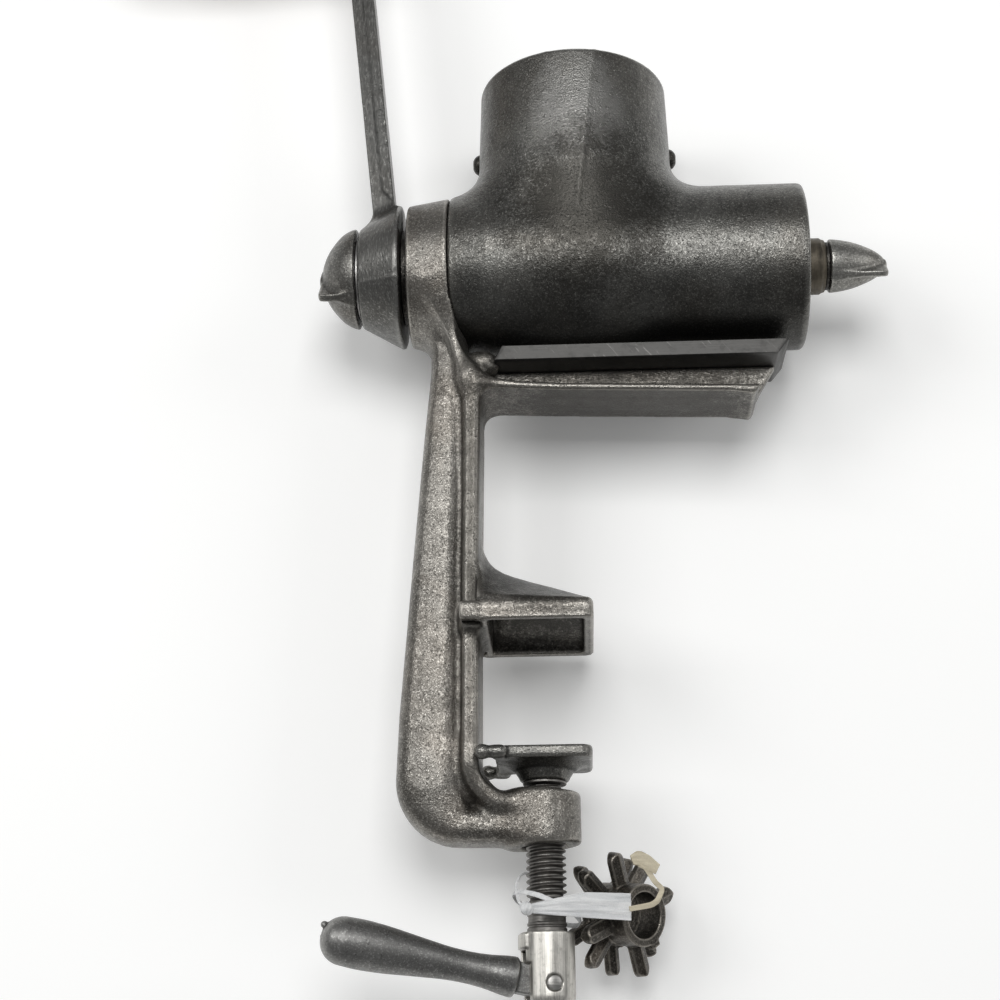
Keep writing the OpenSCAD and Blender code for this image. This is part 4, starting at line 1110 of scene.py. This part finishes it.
def make_rail():
    """Rail under the barrel: a bar of slanted ends whose section, a square with eased corners, is carried along X."""
    turn = np.linspace(0, 2 * np.pi, 64, endpoint=False)
    across = np.clip(np.cos(turn) * 13.0 * 1.36, -13.0, 13.0)
    lift = np.clip(np.sin(turn) * 2.8 * 1.36, -2.8, 2.8)
    mid = (RAIL_Z0 + RAIL_Z1) / 2
    start = 4.3 + (lift + 2.8) / 5.6 * 2.6
    end = 100.3 + (lift + 2.8) / 5.6 * 3.7
    rows = []
    for share, inset in ((0.0, 0.5), (0.0, 0.12), (0.004, 0.0), (0.996, 0.0), (1.0, 0.12), (1.0, 0.5)):
        scale_y, scale_z = 1 - inset / 13, 1 - inset / 2.8
        push = 0.35 * (1 if share > 0.5 else -1) * (inset > 0.3)
        x = start + (end - start) * share + push
        rows.append(np.stack([x, across * scale_y, mid + lift * scale_z], axis=1))
    rows = np.array(rows)
    body = rows[2][None] + (rows[3] - rows[2])[None] * np.linspace(0, 1, 80)[:, None, None]
    return skin("barrel_rail", np.concatenate([rows[:2], body, rows[4:]]), poles=(True, True), crease=50)


def make_small_parts():
    steel = turned_steel("brushed_steel", (0.7, 0.68, 0.63), (1, 1, 0.03))
    ring_steel = turned_steel("turned_steel", (0.45, 0.44, 0.42), (0.05, 0.05, 1))
    thread_steel = turned_steel("thread_steel", (0.26, 0.25, 0.235), (0.05, 0.05, 1), 0.34, 0.5)
    pin_steel = turned_steel("pin_steel", (0.6, 0.59, 0.57), (1, 0.05, 0.05), 0.3, 0.3)
    bronze = old_bronze("browned_bronze")
    wood = grip_wood("oiled_hardwood")
    dress(make_screw(), thread_steel, "bright_steel", "clamp_screw", "clamp_screw")
    sleeve = cast_piece("turned_sleeve", sleeve_field, (-10, -10, -121), (10, 10, -94), 0.32, 0.6, sleeve_place())
    dress(sleeve, steel, "bright_steel", "clamp_screw", "clamp_sleeve")
    half = SLEEVE_R + 0.2
    pin = turned("lever_pin", eased([(0, -half), (2.1, -half), (2.5, -half + 0.5), (2.5, half - 0.5), (2.1, half),
                                     (0, half)], 0.15),
                 sleeve_place() @ Matrix.Translation((0, 0, PIVOT_Z)) @ Matrix.Rotation(math.pi / 2, 4, "X"), 64)
    dress(pin, ring_steel, "bright_steel", "clamp_screw", "sleeve_pin")
    under_pad = turned("pad_ring", ring_profile(4.1, 7, 0.9, 0.2), Matrix.Translation((SCREW_X, 0, PAD_TOP - 10.4)),
                       hollow=True)
    dress(under_pad, thread_steel, "bright_steel", "clamp_screw", "pad_washer")
    rear_bush = turned("rear_bearing", ring_profile(SHAFT_R + 0.06, 12, 8.2, 0.3), along_x(COLLAR_X0, AXIS_Z),
                       hollow=True)
    dress(rear_bush, bronze, "bronze", "stand", "rear_bush")
    front_bush = turned("front_bearing", eased_loop([(5.56, 0), (7, 0), (7, 7.8), (9.9, 7.8), (9.9, 12.2), (9.4, 12.7),
                                                     (9.3, 13.2), (9.1, 13.9), (5.56, 13.9)], 0.2),
                        along_x(BARREL_X1 - 6, AXIS_Z), hollow=True)
    dress(front_bush, bronze, "bronze", "stand", "front_bush")
    under_nut = turned("rear_nut_ring", ring_profile(8, 14, 1.0, 0.2), along_x(HUB_X0 - 1, AXIS_Z), hollow=True)
    dress(under_nut, pin_steel, "bright_steel", "rotor", "crank_washer")
    grip_at = Matrix.Translation((GRIP_X, 0, GRIP_Z)) @ Matrix.Rotation(-math.pi / 2, 4, "Y")
    outline = grip_outline()
    closed = [(3.3, 0)] + outline + [(GRIP_RECESS_R, outline[-1][1]), (GRIP_RECESS_R, GRIP_L - 4.4),
                                     (3.3, GRIP_L - 4.4)]
    grip = turned("wooden_grip", closed, grip_at @ Matrix.Translation((0, 0, 6.2)), 96, hollow=True)
    dress(grip, wood, "grip_wood", "grip", "crank_grip")
    rod = turned("grip_rod", eased([(0, -7.6), (4, -7.6), (5.2, -5.2), (3.2, -5.2), (3.2, 90.8), (5.2, 90.9), (4, 92.5),
                                    (0, 92.5)], 0.4), grip_at, 64)
    dress(rod, pin_steel, "bright_steel", "rotor", "grip_pin")
    inner = turned("inner_grip_ring", ring_profile(3.27, 9, 1.05, 0.2), grip_at @ Matrix.Translation((0, 0, 5.05)),
                   hollow=True)
    dress(inner, pin_steel, "bright_steel", "rotor", "grip_washers")
    outer = turned("outer_grip_ring", ring_profile(3.27, 6.6, 0.95, 0.2), grip_at @ Matrix.Translation((0, 0, 89.9)),
                   hollow=True)
    dress(outer, pin_steel, "bright_steel", "rotor")


def make_tie():
    white = tie_cloth("white_tie", (0.84, 0.84, 0.83), (0.5, 0.51, 0.52), 1.3)
    cream = tie_cloth("cream_tape", (0.66, 0.6, 0.46), (0.42, 0.37, 0.27), 1.6, 0.75)
    loop, knot, band, strand = make_strap()
    dress(loop, white, "white_tie", "cutters", "tie_strap")
    for part in (knot, band, strand):
        dress(part, white, "white_tie", "cutters")
    tab, tail = make_tag()
    dress(tab, cream, "cream_tag", "cutters", "tie_tag")
    dress(tail, cream, "cream_tag", "cutters")


# Room

FLOOR_Y = 0.0368


def make_room():
    """Pale ground behind the object as it lies in the photograph, seen only from its lit side, and a dim pale world."""
    half = 4.0
    ground = bpy.data.meshes.new("ground")
    ground.from_pydata([(-half, FLOOR_Y, -half), (half, FLOOR_Y, -half), (half, FLOOR_Y, half),
                        (-half, FLOOR_Y, half)], [], [(0, 1, 2, 3)])
    floor = bpy.data.objects.new("ground", ground)
    bpy.context.scene.collection.objects.link(floor)
    finish = Finish("pale_ground", roughness=0.9, level=0.2)
    cloud = finish.noise(300, 2, 0.5)
    finish.feed("Base Color", finish.blend(finish.span(cloud, 0.3, 0.7), (0.95, 0.95, 0.94), (0.98, 0.98, 0.97)))
    rays = finish.nodes.new("ShaderNodeLightPath")
    seen = sum(Wire(finish, rays.outputs[kind]) for kind in ("Is Camera Ray", "Is Glossy Ray", "Is Transmission Ray"))
    finish.feed("Emission Strength", finish.span(seen, 0.0, 1.0) * 0.11)
    finish.shader.inputs["Emission Color"].default_value = (1, 1, 0.99, 1)
    clear = finish.nodes.new("ShaderNodeBsdfTransparent")
    side = finish.nodes.new("ShaderNodeNewGeometry")
    choice = finish.nodes.new("ShaderNodeMixShader")
    finish.links.new(side.outputs["Backfacing"], choice.inputs[0])
    finish.links.new(finish.shader.outputs[0], choice.inputs[1])
    finish.links.new(clear.outputs[0], choice.inputs[2])
    finish.links.new(choice.outputs[0], finish.nodes["Material Output"].inputs["Surface"])
    ground.materials.append(finish.material)
    floor.visible_shadow = False
    world = bpy.data.worlds.new("room")
    world.use_nodes = True
    world.node_tree.nodes["Background"].inputs["Color"].default_value = (0.93, 0.94, 0.95, 1)
    world.node_tree.nodes["Background"].inputs["Strength"].default_value = 0.26
    bpy.context.scene.world = world
    bpy.context.scene.view_settings.view_transform = "Standard"


def make_lamp(name, side, height, size, power, distance=1.5):
    """Soft square lamp facing the middle of the object, at angles in degrees to the side of the camera's front and
    above the level."""
    light = bpy.data.lights.new(name, "AREA")
    light.shape = "SQUARE"
    light.size = size
    light.energy = power
    lamp = bpy.data.objects.new(name, light)
    a, h = math.radians(side), math.radians(height)
    way = Vector((math.sin(a) * math.cos(h), -math.cos(a) * math.cos(h), math.sin(h)))
    turn = way.to_track_quat("Z", "Y").to_matrix()
    lamp.matrix_world = Matrix.Translation(Vector((0.03, 0.0, 0.06)) + way * distance) @ turn.to_4x4()
    bpy.context.scene.collection.objects.link(lamp)


make_camera()
make_castings()
make_small_parts()
make_tie()
make_room()
make_lamp("front_window", 2, 13, 0.75, 11)
make_lamp("left_window", -42, 13, 0.7, 6.5)
make_lamp("right_window", 55, 12, 0.6, 3)
